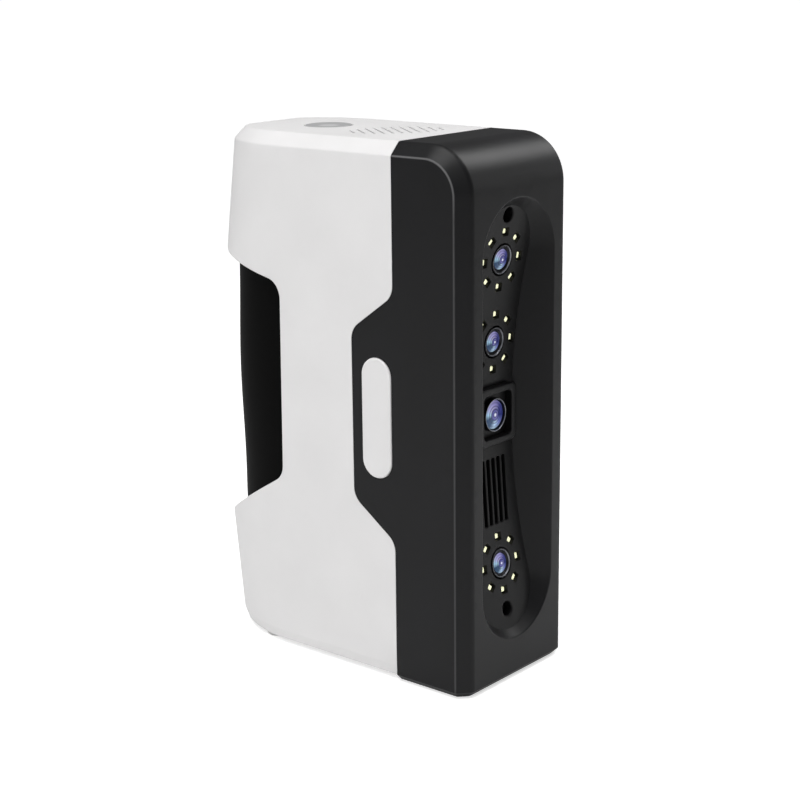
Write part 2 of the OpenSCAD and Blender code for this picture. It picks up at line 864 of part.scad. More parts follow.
module fan_frame() color(charcoal) from_front() difference() {
    union() {
        difference() {
            translate([-fan_size / 2, fan_place - fan_size / 2, fan_low]) cube([fan_size, fan_size, fan_high]);
            rod_z(fan_low - over, fan_top + over, 0, fan_place, fan_bore);
        }
        for (turn = [45, 135])
            translate([0, fan_place, fan_low + fan_spoke_high / 2]) rotate([0, 0, turn])
                cube([2 * (fan_bore + over), fan_spoke_wide, fan_spoke_high], center = true);
        rod_z(fan_low, fan_low + fan_base, 0, fan_place, fan_hub);
        rod_z(fan_low, fan_low + fan_bearing_high, 0, fan_place, fan_shaft + fan_bearing_wall);
    }
    rod_z(fan_low + fan_base / 2, fan_top, 0, fan_place, fan_shaft + loose);
    at_fan_screws() rod_z(fan_low - over, fan_top + over, 0, 0, screw_r + free);
}

module fan_screws() color(steel) from_front() at_fan_screws()
    translate([0, 0, fan_low]) rotate([180, 0, 0]) screw(fan_high + fan_screw_bite);

module fan_rotor() color(charcoal) from_front() translate([0, fan_place, 0]) {
    low = fan_low + fan_base + fan_end_gap;
    high = fan_top - fan_end_gap;
    difference() {
        rod_z(low, high, 0, 0, fan_hub);
        rod_z(low - over, high - fan_cup_wall, 0, 0, fan_hub - fan_cup_wall);
    }
    rod_z(fan_low + fan_base / 2 + blade_gap, high - fan_cup_wall / 2, 0, 0, fan_shaft);
    for (i = [0 : blade_count - 1])
        rotate([0, 0, i * 360 / blade_count]) translate([fan_hub - blade_root, 0, (low + high) / 2])
            rotate([blade_tilt, 0, 0]) translate([0, -blade_chord / 2, -blade_thick / 2])
                cube([fan_bore - blade_gap - fan_hub, blade_chord, blade_thick]);
}

module button_cap() color(steel) from_front() translate([0, button_place, 0]) {
    under = height - wall - rim_under;
    rod_z(under, height + button_proud, 0, 0, button_r);
    rod_z(under, height - wall - loose, 0, 0, cap_rim);
    rod_z(stem_low, under + loose, 0, 0, stem_r);
}

module button_spring() color(steel) from_front() translate([0, button_place, 0]) difference() {
    rod_z(switch_top, height - wall - rim_under, 0, 0, spring_r);
    rod_z(switch_top - over, height, 0, 0, spring_r - spring_wall);
}

module switch_plunger() color(charcoal) from_front() rod_z(plunger_low, stem_low, 0, button_place, plunger_r);

module switch_body() color(charcoal) from_front() translate([0, button_place, switch_top]) difference() {
    translate([-switch_half, -switch_half, 0]) cube([2 * switch_half, 2 * switch_half, switch_high]);
    rod_z(switch_floor, switch_high + over, 0, 0, plunger_r + loose);
}

module switch_board() color(board_green) from_front() difference() {
    half = switch_side + switch_margin;
    translate([-half, button_place - switch_board_deep / 2, switch_top - board_thick])
        cube([2 * half, switch_board_deep, board_thick]);
    at_switch_screws() rod_z(switch_top - board_thick - over, switch_top + over, 0, 0, screw_r + free);
}

module switch_screws() color(steel) from_front() at_switch_screws()
    translate([0, 0, switch_top - board_thick]) rotate([180, 0, 0]) screw(board_thick + switch_screw_bite);

module main_board() color(board_green) from_front() difference() {
    translate([-board_half, board_front, board_top - board_thick])
        cube([2 * board_half, depth - board_rear_gap - board_front, board_thick]);
    at_main_screws() rod_z(board_top - board_thick - over, board_top + over, 0, 0, screw_r + free);
}

// Block that lies on the main board, with its middle at x, y
module board_block(x, y, w, d, high) translate([x - w / 2, y - d / 2, board_top]) cube([w, d, high]);

module board_chips() color(charcoal) from_front() {
    board_block(0, board_front + processor_place, processor, processor, processor_high);
    for (side = [-1, 1])
        board_block(side * memory_side, board_front + memory_place, memory_wide, memory_long, memory_high);
    board_block(0, board_front + connector_margin + connector_deep / 2,
        connector_wide, connector_deep, connector_high);
}

module board_screws() color(steel) from_front()
    at_main_screws() translate([0, 0, board_top]) screw(board_screw_long);

module rear_feet() color(charcoal) from_front()
    for (side = [-1, 1])
        rod_z(0, rear_clearance + foot_sunk, side * foot_side, foot_place, foot_r);

module tripod_insert() color(brass) from_front() difference() {
    rod_z(rear_clearance, rear_clearance + insert_high, 0, tripod_place, insert_r);
    rod_z(0, rear_clearance + insert_high - thread_end, 0, tripod_place, tripod_thread / 2);
}

module cable_socket() color(steel) from_front() difference() {
    union() {
        rod_y(socket_seat, socket_seat + socket_flange_thick, 0, socket_height, socket_r + socket_flange);
        rod_y(socket_seat - socket_long, socket_seat + over, 0, socket_height, socket_r);
    }
    rod_y(socket_bore_end - over, socket_seat + socket_flange_thick + over, 0, socket_height,
        socket_r - socket_wall);
    rod_y(socket_seat - socket_long + socket_end, socket_bore_end, 0, socket_height,
        socket_r - socket_chamber_wall);
}

module socket_pins() color(brass) from_front()
    translate([0, socket_seat - socket_long + socket_end, socket_height])
        for (i = [0 : pin_count - 1])
            rotate([0, i * 360 / pin_count, 0]) rod_y(0, pin_long, 0, pin_circle, pin_r);

module socket_nut() color(steel) from_front()
    translate([0, socket_seat - socket_boss_wall, socket_height]) difference() {
        rotate([90, 0, 0]) cylinder(h = nut_thick, r = socket_r + nut_grow, $fn = 6);
        rod_y(-nut_thick - over, over, 0, 0, socket_r + loose);
    }

front_housing();
rear_shell();
grip_pad();
badge_left();
badge_right();
case_screws();
sensor_panel();
panel_screws();
lamp_board_upper();
lamp_board_middle();
lamp_board_lower();
lamps_upper();
lamps_middle();
lamps_lower();
lens_barrel_upper();
lens_barrel_middle();
lens_barrel_lower();
lens_glass_upper();
lens_glass_middle();
lens_glass_lower();
lens_mount_upper();
lens_mount_middle();
lens_mount_lower();
camera_board_upper();
camera_board_middle();
camera_board_lower();
camera_screws();
projector_bezel();
projector_barrel();
projector_glass();
light_engine();
engine_screws();
heat_sink();
optical_chassis();
chassis_screws();
fan_frame();
fan_screws();
fan_rotor();
button_cap();
button_spring();
switch_plunger();
switch_body();
switch_board();
switch_screws();
main_board();
board_chips();
board_screws();
rear_feet();
tripod_insert();
cable_socket();
socket_pins();
socket_nut();
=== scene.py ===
# %% [markdown]
# # A handheld 3-D scanner, skin by skin
# The construction of the scanner is a packed set of solids: shells, boards, lenses, screws, a fan and a
# button. This lesson keeps that frame fixed and gives it its looks. What shows gets a new surface, worked
# out with numpy from the same sizes, so that edges are rounded and light runs along them. What is hidden
# only gets a finish.

# %% Load the fixed frame
import json
import math

import bmesh
import bpy
import numpy as np
from mathutils import Matrix, Vector
from mathutils.geometry import delaunay_2d_cdt


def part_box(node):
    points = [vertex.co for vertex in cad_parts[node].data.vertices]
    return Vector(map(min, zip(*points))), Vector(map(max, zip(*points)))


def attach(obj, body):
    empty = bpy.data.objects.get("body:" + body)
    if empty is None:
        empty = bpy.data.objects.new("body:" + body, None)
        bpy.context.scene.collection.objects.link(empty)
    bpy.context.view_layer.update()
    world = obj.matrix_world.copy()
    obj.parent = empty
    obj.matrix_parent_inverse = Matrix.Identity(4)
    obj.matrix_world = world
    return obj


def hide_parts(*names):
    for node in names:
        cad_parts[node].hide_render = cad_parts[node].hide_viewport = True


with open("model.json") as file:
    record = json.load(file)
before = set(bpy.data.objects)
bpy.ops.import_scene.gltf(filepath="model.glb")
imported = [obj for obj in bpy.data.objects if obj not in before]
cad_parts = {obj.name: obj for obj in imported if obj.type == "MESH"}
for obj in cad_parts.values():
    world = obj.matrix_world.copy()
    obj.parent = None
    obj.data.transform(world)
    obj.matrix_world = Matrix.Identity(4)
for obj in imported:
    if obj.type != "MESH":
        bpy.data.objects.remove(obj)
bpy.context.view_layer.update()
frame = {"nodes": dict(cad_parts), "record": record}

# %% [markdown]
# ## Workshop coordinates
# Every drawing of the scanner is measured from its sensor face: x across, y rearward, z up, in millimetres.
# The frame counts in metres from the middle of the base. One function goes from the first to the second,
# and the outer sizes are read from the frame, so nothing is fitted by eye. The origin lies halfway along
# the depth.

# %% Outer sizes from the frame
MM = 0.001
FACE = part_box("front_housing")[0].y / MM
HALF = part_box("rear_shell")[1].x / MM
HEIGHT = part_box("rear_shell")[1].z / MM
DEPTH = -2 * FACE
REAR_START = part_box("rear_shell")[0].y / MM - FACE
REAR_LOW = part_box("rear_shell")[0].z / MM
EAR_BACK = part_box("front_housing")[1].y / MM - FACE
SEAM_GAP = 0.2
SEAM = REAR_START - SEAM_GAP
MIDDLE = HEIGHT / 2
WALL = 2.6
CHAMFER = 5.6


def place(points):
    """Workshop millimetres to metres in the frame: y counts from the sensor face, then all is scaled."""
    return (np.asarray(points, float) + [0, FACE, 0]) * MM


print(f"half width {HALF:.1f}, height {HEIGHT:.1f}, depth {DEPTH:.1f} mm")
print(f"seam at {SEAM:.1f}, ear to {EAR_BACK:.1f} mm")

# %% [markdown]
# ## Outlines with round corners
# A moulded part has no sharp corner, so each outline is a few corner points and a radius for each of them.
# An arc touches both legs of its corner. An outline can also be moved sideways, which is how a rounded edge
# is drawn: each ring of the edge is the same outline, moved a little and pushed a little deeper.

# %% Outline functions
def unit(vectors):
    """Vectors of length one."""
    return vectors / np.maximum(np.linalg.norm(vectors, axis=-1, keepdims=True), 1e-12)


def rounded(points, radii, closed=True, step=9.0):
    """Outline with an arc at each corner, whose ends lie radius / tan(half the angle) from the corner."""
    points = np.asarray(points, float)
    count = len(points)
    stretches = []
    for k, (corner, radius) in enumerate(zip(points, np.broadcast_to(radii, count))):
        if radius == 0 or (not closed and k in (0, count - 1)):
            stretches.append(corner[None])
            continue
        to_last = unit(points[k - 1] - corner)
        to_next = unit(points[(k + 1) % count] - corner)
        half = 0.5 * np.arccos(to_last @ to_next)
        centre = corner + unit(to_last + to_next) * radius / np.sin(half)
        first = corner + to_last * radius / np.tan(half) - centre
        last = corner + to_next * radius / np.tan(half) - centre
        turn = np.arctan2(first[0] * last[1] - first[1] * last[0], first @ last)
        angle = np.linspace(0, turn, max(3, round(np.degrees(abs(turn)) / step) + 2))
        across = np.array([-first[1], first[0]])
        stretches.append(centre + np.outer(np.cos(angle), first) + np.outer(np.sin(angle), across))
    return np.vstack(stretches)


def run_along(points):
    """Length along a line of points, from the first point to each of them."""
    return np.concatenate([[0], np.cumsum(np.linalg.norm(np.diff(points, axis=0), axis=1))])


def row(across, level):
    """Flat points side by side at one level."""
    return np.stack([across, np.full(len(across), level)], 1)


def column(aside, up):
    """Flat points one above the other at one distance aside."""
    return np.stack([np.full(len(up), aside), up], 1)


def lattice_border(across, up):
    """Border of a lattice of points, once round it from its first corner."""
    return np.vstack([row(across, up[0]), column(across[-1], up[1:]), row(across[-2::-1], up[-1]),
                      column(across[0], up[-2:0:-1])])


def box_outline(x, y, width, height, radius, turn=0.0):
    """Rectangle with round corners about x, y, turned by an angle in degrees."""
    corners = np.array([[-1, -1], [1, -1], [1, 1], [-1, 1]]) * [width / 2, height / 2]
    cosine, sine = math.cos(math.radians(turn)), math.sin(math.radians(turn))
    return rounded(corners, radius, step=15) @ np.array([[cosine, sine], [-sine, cosine]]) + [x, y]


def circle_outline(x, y, radius, count=64):
    """Points evenly round a circle."""
    angle = np.linspace(0, 2 * np.pi, count, endpoint=False)
    return np.stack([x + radius * np.cos(angle), y + radius * np.sin(angle)], 1)


def stadium(x, y, half, rise, steps=40, straight=0):
    """Two half circles, at rise above and below x, y, with extra points on the straight sides."""
    angle = np.linspace(0, np.pi, steps + 1)
    cap = half * np.stack([np.cos(angle), np.sin(angle)], 1) + [0, rise]
    side = column(-half, np.linspace(rise, -rise, straight + 2)[1:-1])
    return np.vstack([cap, side, -cap, -side]) + [x, y]


def wound(loop, anticlockwise):
    """The loop in the given direction, by the sign of its area."""
    x, y = loop.T
    area = np.sum(x * np.roll(y, -1) - np.roll(x, -1) * y)
    return loop if (area > 0) == anticlockwise else loop[::-1]


def moved(loop, out, least=0.4):
    """Each point moved to the right of the travel by out, along the bisector of its two edges.
    The least cosine keeps a sharp corner from running far away."""
    before = unit(loop - np.roll(loop, 1, 0))
    after = unit(np.roll(loop, -1, 0) - loop)
    along = unit(before + after)
    stretch = np.maximum(np.sum(along * after, 1), least)
    right = np.stack([along[:, 1], -along[:, 0]], 1)
    return loop + right * (np.broadcast_to(out, len(loop)) / stretch)[:, None]


def edge_round(radius, count=5):
    """Rounded edge as (sideways, depth) pairs: a quarter circle from the face over to the wall."""
    angle = np.linspace(0, np.pi / 2, count)
    return list(zip(radius * (np.sin(angle) - 1), radius * (1 - np.cos(angle))))


def cut_edge(radius, deep, count=3):
    """Profile of a plain cut: a rounded edge, straight through to the depth, then back under the skin."""
    return edge_round(radius, count) + [(0, deep), (-radius, deep)]


print("a 20 x 20 outline with 2 mm rounds has", len(box_outline(0, 0, 20, 20, 2)), "points")

# %% [markdown]
# ## Skins with openings
# A shell with a window, vents and screw holes could be cut with booleans, but then each cut has a sharp
# edge. Here a skin is a function of two flat coordinates, and the region that it covers is filled with
# triangles between its border and its holes. Each hole's edge then turns inward through rings that follow a
# profile. The same triangles, pushed in by the wall's thickness, make the inner side, and the open border
# gets a rim.

# %% Net functions
def grid(points, closed=False):
    """Points and triangles of a surface given as rows of points; closed joins the ends of each row."""
    rows, columns = points.shape[:2]
    index = np.arange(rows * columns).reshape(rows, columns)
    if closed:
        index = np.hstack([index, index[:, :1]])
    a, b, c, d = index[:-1, :-1], index[:-1, 1:], index[1:, 1:], index[1:, :-1]
    return points.reshape(-1, 3), np.stack([a, b, c, a, c, d], -1).reshape(-1, 3)


def joined(*nets):
    """Several nets of (points, triangles) as one."""
    starts = np.cumsum([0] + [len(points) for points, _ in nets[:-1]])
    triangles = np.vstack([net[1] + start for net, start in zip(nets, starts)])
    return np.vstack([net[0] for net in nets]), triangles


def weld(points, gap=0.002, shift=0.37):
    """First index of each place, and each point's place: points in one small cell are the same point.
    The shift keeps round numbers off the borders of the cells."""
    cell = np.floor(points / gap + shift).astype(np.int64)
    _, first, same = np.unique(cell, axis=0, return_index=True, return_inverse=True)
    return first, same.ravel()


def inside(points, loops):
    """True where a ray from the point crosses the loops an odd number of times."""
    odd = np.zeros(len(points), bool)
    for loop in loops:
        (ax, ay), (bx, by) = loop.T, np.roll(loop, -1, 0).T
        x, y = points[:, :1], points[:, 1:]
        level = (ay > y) != (by > y)
        cross = ax + (y - ay) * (bx - ax) / np.where(by == ay, 1, by - ay)
        odd ^= (np.sum(level & (x < cross), 1) % 2).astype(bool)
    return odd


def clear_of(points, loops, gap):
    """True where the point lies further than gap from every edge of the loops."""
    far = np.ones(len(points), bool)
    for loop in loops:
        start, step = loop, np.roll(loop, -1, 0) - loop
        to_point = points[:, None] - start
        share = np.clip(np.sum(to_point * step, 2) / np.maximum(np.sum(step * step, 1), 1e-12), 0, 1)
        far &= np.linalg.norm(to_point - share[..., None] * step, axis=2).min(1) > gap
    return far


def filled(loops, across, up, gap=0.12):
    """Triangles inside the first loop and outside the others, with points where the lines cross.
    A crossing nearer to a loop than the gap is left out, so that no sliver forms there."""
    lattice = np.array([[u, v] for u in across for v in up]).reshape(-1, 2)
    if len(lattice):
        lattice = lattice[inside(lattice, loops)]
        lattice = lattice[clear_of(lattice, loops, gap)]
    points = np.vstack([*loops, lattice])
    edges = []
    start = 0
    for loop in loops:
        index = np.arange(len(loop)) + start
        edges += np.stack([index, np.roll(index, -1)], 1).tolist()
        start += len(loop)
    net = delaunay_2d_cdt([Vector(p) for p in points], edges, [], 0, 1e-5)
    source = np.array([ids[0] for ids in net[3]])
    triangles = source[np.array(net[2])]
    return points, triangles[inside(points[triangles].mean(1), loops)]


def pushed(surface, flat, depth):
    """Points of a surface moved inward: its normal is the cross product of its two directions."""
    u, v = np.asarray(flat, float).T
    step = 0.04
    along_u = surface(u + step, v) - surface(u - step, v)
    along_v = surface(u, v + step) - surface(u, v - step)
    normal = unit(np.cross(along_u, along_v))
    return surface(u, v) - normal * np.broadcast_to(depth, len(u))[:, None]


def skin(surface, border, holes=(), across=(), up=(), wall=WALL, border_profile=None):
    """One side of a shell: outer and inner points, triangles, marks of the holes' points, the holes' edges.
    A profile is a list of (sideways, depth) from the outer side to the inner one."""
    edged = [(wound(loop, False), profile) for loop, profile in holes]
    border = wound(border, True)
    loops = [border] if border_profile is None else [moved(border, border_profile[0][0])]
    loops += [moved(loop, profile[0][0]) for loop, profile in edged]
    flat, triangles = filled(loops, across, up)
    marks = np.zeros(len(flat), bool)
    marks[0 if border_profile else len(border):sum(map(len, loops))] = True
    if border_profile:
        edged.append((border, border_profile))
    bands = [
        grid(np.stack([pushed(surface, moved(loop, out), depth) for out, depth in profile]), closed=True)
        for loop, profile in edged
    ]
    return pushed(surface, flat, 0), pushed(surface, flat, wall), triangles, marks, bands


def shell(*skins):
    """Closed net of skins that meet: outer side, inner side, rim on the open border, and the holes' edges."""
    starts = np.cumsum([0] + [len(part[0]) for part in skins[:-1]])
    outer, inner = np.vstack([part[0] for part in skins]), np.vstack([part[1] for part in skins])
    triangles = np.vstack([part[2] + start for part, start in zip(skins, starts)])
    marks = np.concatenate([part[3] for part in skins])
    first, same = weld(outer)
    outer, inner, marks, triangles = outer[first], inner[first], marks[first], same[triangles]
    edges = np.vstack([triangles[:, [0, 1]], triangles[:, [1, 2]], triangles[:, [2, 0]]])
    _, index, uses = np.unique(np.sort(edges, 1), axis=0, return_index=True, return_counts=True)
    rim = edges[index[uses == 1]]
    start, end = rim[~marks[rim].all(1)].T
    count = len(outer)
    sides = np.vstack([np.stack([end, start, start + count], 1),
                       np.stack([end, start + count, end + count], 1)])
    body = np.vstack([outer, inner]), np.vstack([triangles, triangles[:, ::-1] + count, sides])
    return joined(body, *[band for part in skins for band in part[4]])


def prism(outline, profile, to_space):
    """Solid over a convex outline: rings by (sideways, depth), with a fan to the middle at both ends."""
    loop = wound(outline, True)
    flats = [np.tile(loop.mean(0), (len(loop), 1))] + [moved(loop, out) for out, _ in profile]
    flats.append(flats[0])
    depths = [profile[0][1]] + [depth for _, depth in profile] + [profile[-1][1]]
    return grid(np.stack([to_space(flat, depth) for flat, depth in zip(flats, depths)]), closed=True)


def lathe(profile, to_space, steps=72):
    """Surface of revolution: each (radius, depth) of the profile runs once round the axis."""
    radius, depth = np.asarray(profile, float).T
    angle = np.linspace(0, 2 * np.pi, steps, endpoint=False)
    flat = radius[:, None, None] * np.stack([np.sin(angle), np.cos(angle)], 1)
    return grid(np.stack([to_space(ring, d) for ring, d in zip(flat, depth)]), closed=True)


print("net functions ready")

# %% [markdown]
# ## From a net to a piece
# A net becomes a mesh with its points in the frame and its object at the origin. Double points are merged,
# normals are turned outward, and edges over 32 degrees stay crisp. Large flat faces then decide the shading
# of the small rounds beside them, which keeps a moulded face flat to the eye right up to its edge.

# %% Piece function
CRISP = math.radians(32)
SAME_POINT, SLIVER = 2e-6, 1e-7


def spots(mesh):
    """Places of a mesh's points, in metres."""
    flat = np.zeros(3 * len(mesh.vertices), np.float32)
    mesh.vertices.foreach_get("co", flat)
    return flat.reshape(-1, 3)


def store(mesh, name, values):
    """Keeps one number for each point of a mesh."""
    mesh.attributes.new(name, "FLOAT", "POINT").data.foreach_set("value", np.asarray(values, np.float32))


def piece(name, net, body, stands_for=(), material=None):
    """Makes the mesh, lets it ride on a body and stand for solids of the frame."""
    points, triangles = net
    mesh = bpy.data.meshes.new(name)
    mesh.vertices.add(len(points))
    mesh.vertices.foreach_set("co", place(points).astype(np.float32).ravel())
    mesh.loops.add(3 * len(triangles))
    mesh.loops.foreach_set("vertex_index", np.ascontiguousarray(triangles, np.int32).ravel())
    mesh.polygons.add(len(triangles))
    mesh.polygons.foreach_set("loop_start", np.arange(0, 3 * len(triangles), 3, dtype=np.int32))
    mesh.update(calc_edges=True)
    work = bmesh.new()
    work.from_mesh(mesh)
    bmesh.ops.remove_doubles(work, verts=work.verts, dist=SAME_POINT)
    bmesh.ops.dissolve_degenerate(work, edges=work.edges, dist=SLIVER)
    bmesh.ops.recalc_face_normals(work, faces=work.faces)
    open_edges = sum(len(edge.link_faces) != 2 for edge in work.edges)
    work.to_mesh(mesh)
    work.free()
    mesh.shade_smooth()
    mesh.set_sharp_from_angle(angle=CRISP)
    thing = bpy.data.objects.new(name, mesh)
    bpy.context.scene.collection.objects.link(thing)
    even = thing.modifiers.new("even_shading", "WEIGHTED_NORMAL")
    even.keep_sharp = True
    mesh.materials.append(material)
    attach(thing, body)
    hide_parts(*stands_for)
    print(f"{name}: {len(mesh.polygons)} faces, {open_edges} open edges")
    return thing


# %% [markdown]
# ## Finishes
# Almost all that shows is injection-moulded plastic: the tool's spark-eroded texture gives a fine, even
# grain that spreads the gloss. Colours are written as on a colour card and turned to linear light by one
# function. One more function adds a node, sets it and links it, and each finish is a short list of such
# nodes.

# %% Colour and node functions
def tone(code):
    """sRGB hex to linear RGBA: the curve is linear near black and a power of 2.4 above."""
    value = np.array([int(code[k:k + 2], 16) for k in (1, 3, 5)]) / 255
    linear = np.where(value <= 0.04045, value / 12.92, ((value + 0.055) / 1.055) ** 2.4)
    return (*linear.tolist(), 1.0)


def add(tree, kind, inputs=(), **settings):
    """Adds a node with its settings; an input is a value or another node's output."""
    node = tree.nodes.new(kind)
    for key, value in settings.items():
        setattr(node, key, value)
    for socket, value in dict(inputs).items():
        if isinstance(value, bpy.types.NodeSocket):
            tree.links.new(value, node.inputs[socket])
        else:
            node.inputs[socket].default_value = value
    return node


def blank(name):
    """An empty material and its node tree."""
    material = bpy.data.materials.new(name)
    material.use_nodes = True
    material.node_tree.nodes.clear()
    return material, material.node_tree


def per_metre(size_mm):
    """Texture scale at which one cell of the pattern has this size."""
    return 1 / (size_mm * MM)


def ramp(tree, factor, stops):
    """Colour ramp through (place, colour) stops."""
    node = add(tree, "ShaderNodeValToRGB", {"Fac": factor})
    marks = node.color_ramp.elements
    while len(marks) < len(stops):
        marks.new(0.5)
    for mark, (where, colour) in zip(marks, stops):
        mark.position = where
        mark.color = colour
    return node.outputs["Color"]


print("white card", [round(v, 3) for v in tone("#e8e8e6")])

# %% [markdown]
# ## Moulded ABS
# ABS leaves the tool with the tool's own texture. Seen from a step away it is a satin with the faintest
# mottle. The real grain is about 0.08 mm, too fine for a picture of this size, so it is drawn at 0.3 mm. A
# second, broad noise varies the gloss a little, as flow and handling do. A mesh may carry an attribute that
# turns the colour paler: on the housing it is a painted highlight along the rounded edge, on the button real
# wear from the finger.

# %% Moulded plastic finishes
FLOW_MM = 35.0
ABS_IOR = 1.54


def moulded_abs(name, colour, shade, paler_tone, rough, gloss, grain_mm=0.3, relief=0.012):
    """Satin plastic: grain in the bump, slow change of colour and roughness, and a paler tone by a mesh
    attribute.
    """
    material, tree = blank(name)
    where = add(tree, "ShaderNodeTexCoord").outputs["Object"]
    flow = add(tree, "ShaderNodeTexNoise", {"Vector": where, "Scale": per_metre(FLOW_MM), "Detail": 3.0})
    slow = flow.outputs["Fac"]
    grain = add(tree, "ShaderNodeTexNoise", {"Vector": where, "Scale": per_metre(grain_mm), "Detail": 2.0})
    bump = add(tree, "ShaderNodeBump", {
        "Height": grain.outputs["Fac"], "Strength": 0.5, "Distance": relief * MM})
    spread = add(tree, "ShaderNodeMapRange", {
        "Value": slow, "To Min": rough - 0.04, "To Max": rough + 0.05})
    # The paler tone is a painted highlight on the housing's edge, and real finger wear on the button
    pale_share = add(tree, "ShaderNodeAttribute", attribute_name="sheen_and_wear").outputs["Fac"]
    body = ramp(tree, slow, [(0.3, tone(shade)), (0.7, tone(colour))])
    paint = add(tree, "ShaderNodeMix", {0: pale_share, 6: body, 7: tone(paler_tone)}, data_type="RGBA")
    surface = add(tree, "ShaderNodeBsdfPrincipled", {
        "Base Color": paint.outputs[2], "Roughness": spread.outputs["Result"],
        "Normal": bump.outputs["Normal"], "IOR": ABS_IOR, "Specular IOR Level": gloss})
    add(tree, "ShaderNodeOutputMaterial", {"Surface": surface.outputs["BSDF"]})
    return material


# Satin black: reads as charcoal where a lamp is mirrored, nearly black elsewhere. Its pale grey is a painted
# highlight along the housing's rounded edge
black_abs = moulded_abs("moulded_black_abs", "#161618", "#131314", "#747475", 0.40, 0.17)
# Clean cool white with a soft sheen
white_abs = moulded_abs("moulded_white_abs", "#e9e8e8", "#e4e3e3", "#f0efef", 0.40, 0.40)
# The same black with a deeper texture and less gloss, against stray light
panel_abs = moulded_abs("textured_black_abs", "#141415", "#111112", "#222223", 0.34, 0.13, 0.35, 0.03)
# Mid grey with the same satin as the shells, paler where a finger rubs it
grey_abs = moulded_abs("moulded_grey_abs", "#aaaaab", "#a4a4a5", "#c0c0c1", 0.42, 0.40)
print("plastics", black_abs.name, white_abs.name, panel_abs.name, grey_abs.name)

# %% [markdown]
# ## Rubber, alloy, steel, brass and boards
# The grip is a soft overmould: deep black, with a low broad sheen. Lens bodies are black anodised alloy,
# whose machined faces carry fine marks. Screws, spring, socket and insert are plain metals. Boards wear
# solder resist.

# %% Rubber, metal and board finishes
def soft_rubber(name, colour, rough):
    """Overmoulded elastomer: no clear highlight, only a broad sheen over a very fine grain."""
    material, tree = blank(name)
    where = add(tree, "ShaderNodeTexCoord").outputs["Object"]
    noise = add(tree, "ShaderNodeTexNoise", {"Vector": where, "Scale": per_metre(0.4), "Detail": 3.0})
    grain = noise.outputs["Fac"]
    bump = add(tree, "ShaderNodeBump", {"Height": grain, "Strength": 0.4, "Distance": 0.02 * MM})
    spread = add(tree, "ShaderNodeMapRange", {
        "Value": grain, "To Min": rough - 0.06, "To Max": rough + 0.06})
    surface = add(tree, "ShaderNodeBsdfPrincipled", {
        "Base Color": tone(colour), "Roughness": spread.outputs["Result"], "Normal": bump.outputs["Normal"],
        "IOR": 1.52, "Specular IOR Level": 0.02})
    add(tree, "ShaderNodeOutputMaterial", {"Surface": surface.outputs["BSDF"]})
    return material


def turned_metal(name, colour, rough, mark_mm=0.25, metallic=1.0):
    """Machined metal: fine tool marks vary the roughness and stand a few microns high."""
    material, tree = blank(name)
    where = add(tree, "ShaderNodeTexCoord").outputs["Object"]
    marks = add(tree, "ShaderNodeTexNoise", {"Vector": where, "Scale": per_metre(mark_mm), "Detail": 2.0})
    bump = add(tree, "ShaderNodeBump", {
        "Height": marks.outputs["Fac"], "Strength": 0.3, "Distance": 0.01 * MM})
    spread = add(tree, "ShaderNodeMapRange", {
        "Value": marks.outputs["Fac"], "To Min": rough - 0.08, "To Max": rough + 0.08})
    surface = add(tree, "ShaderNodeBsdfPrincipled", {
        "Base Color": tone(colour), "Metallic": metallic, "Roughness": spread.outputs["Result"],
        "Normal": bump.outputs["Normal"]})
    add(tree, "ShaderNodeOutputMaterial", {"Surface": surface.outputs["BSDF"]})
    return material


def solder_resist(name, colour, trace):
    """Printed board: lacquer over copper, whose traces show as slightly lighter squares."""
    material, tree = blank(name)
    where = add(tree, "ShaderNodeTexCoord").outputs["Object"]
    traces = add(tree, "ShaderNodeTexVoronoi", {"Vector": where, "Scale": per_metre(2.5)},
                 distance="CHEBYCHEV")
    surface = add(tree, "ShaderNodeBsdfPrincipled", {
        "Base Color": ramp(tree, traces.outputs["Distance"], [(0.3, tone(trace)), (0.42, tone(colour))]),
        "Roughness": 0.35, "IOR": 1.5})
    add(tree, "ShaderNodeOutputMaterial", {"Surface": surface.outputs["BSDF"]})
    return material


grip_rubber = soft_rubber("overmoulded_black_rubber", "#0a0a0a", 0.5)
foot_rubber = soft_rubber("moulded_pale_rubber", "#cfcfce", 0.6)
black_alloy = turned_metal("black_anodised_alloy", "#2a2a2d", 0.34, metallic=0.6)
bare_alloy = turned_metal("blasted_aluminium", "#c9cbcf", 0.42)
dark_steel = turned_metal("blackened_screw_steel", "#3a3a3c", 0.36)
spring_steel = turned_metal("drawn_spring_steel", "#b9bbbf", 0.28)
plated_steel = turned_metal("black_plated_steel", "#4b4c50", 0.3)
turned_brass = turned_metal("turned_brass", "#c9a354", 0.3)
green_board = solder_resist("green_solder_resist", "#1c5a38", "#2b7348")
black_board = solder_resist("black_solder_resist", "#0d0e0d", "#191a19")
print("metals and boards ready")

# %% [markdown]
# ## Glass with painted reflections, and lamps
# A multi-coated front lens mirrors violet and blue at its middle, lilac above, teal at its side and a pale
# arc below. These reflections, a white glint at the middle and rings of the glasses behind are painted into
# the glass's colour, which glows a little, by the place across each lens that its mesh carries as two
# attributes. A lamp is a small block of clear resin over yellow phosphor, which glows a little.

# %% Glass and lamp finishes
def across_lens(tree):
    """Distance from the lens's axis in radii, and direction round it: 0 below, then left, above, right."""
    x, up = (add(tree, "ShaderNodeAttribute", attribute_name=name).outputs["Fac"]
             for name in ("lens_x", "lens_up"))
    spot = add(tree, "ShaderNodeCombineXYZ", {"X": x, "Y": up})
    ring = add(tree, "ShaderNodeVectorMath", {0: spot.outputs["Vector"]}, operation="LENGTH")
    angle = add(tree, "ShaderNodeMath", {0: x, 1: up}, operation="ARCTAN2")
    turn = add(tree, "ShaderNodeMapRange", {
        "Value": angle.outputs[0], "From Min": -math.pi, "From Max": math.pi})
    return ring.outputs["Value"], turn.outputs["Result"]


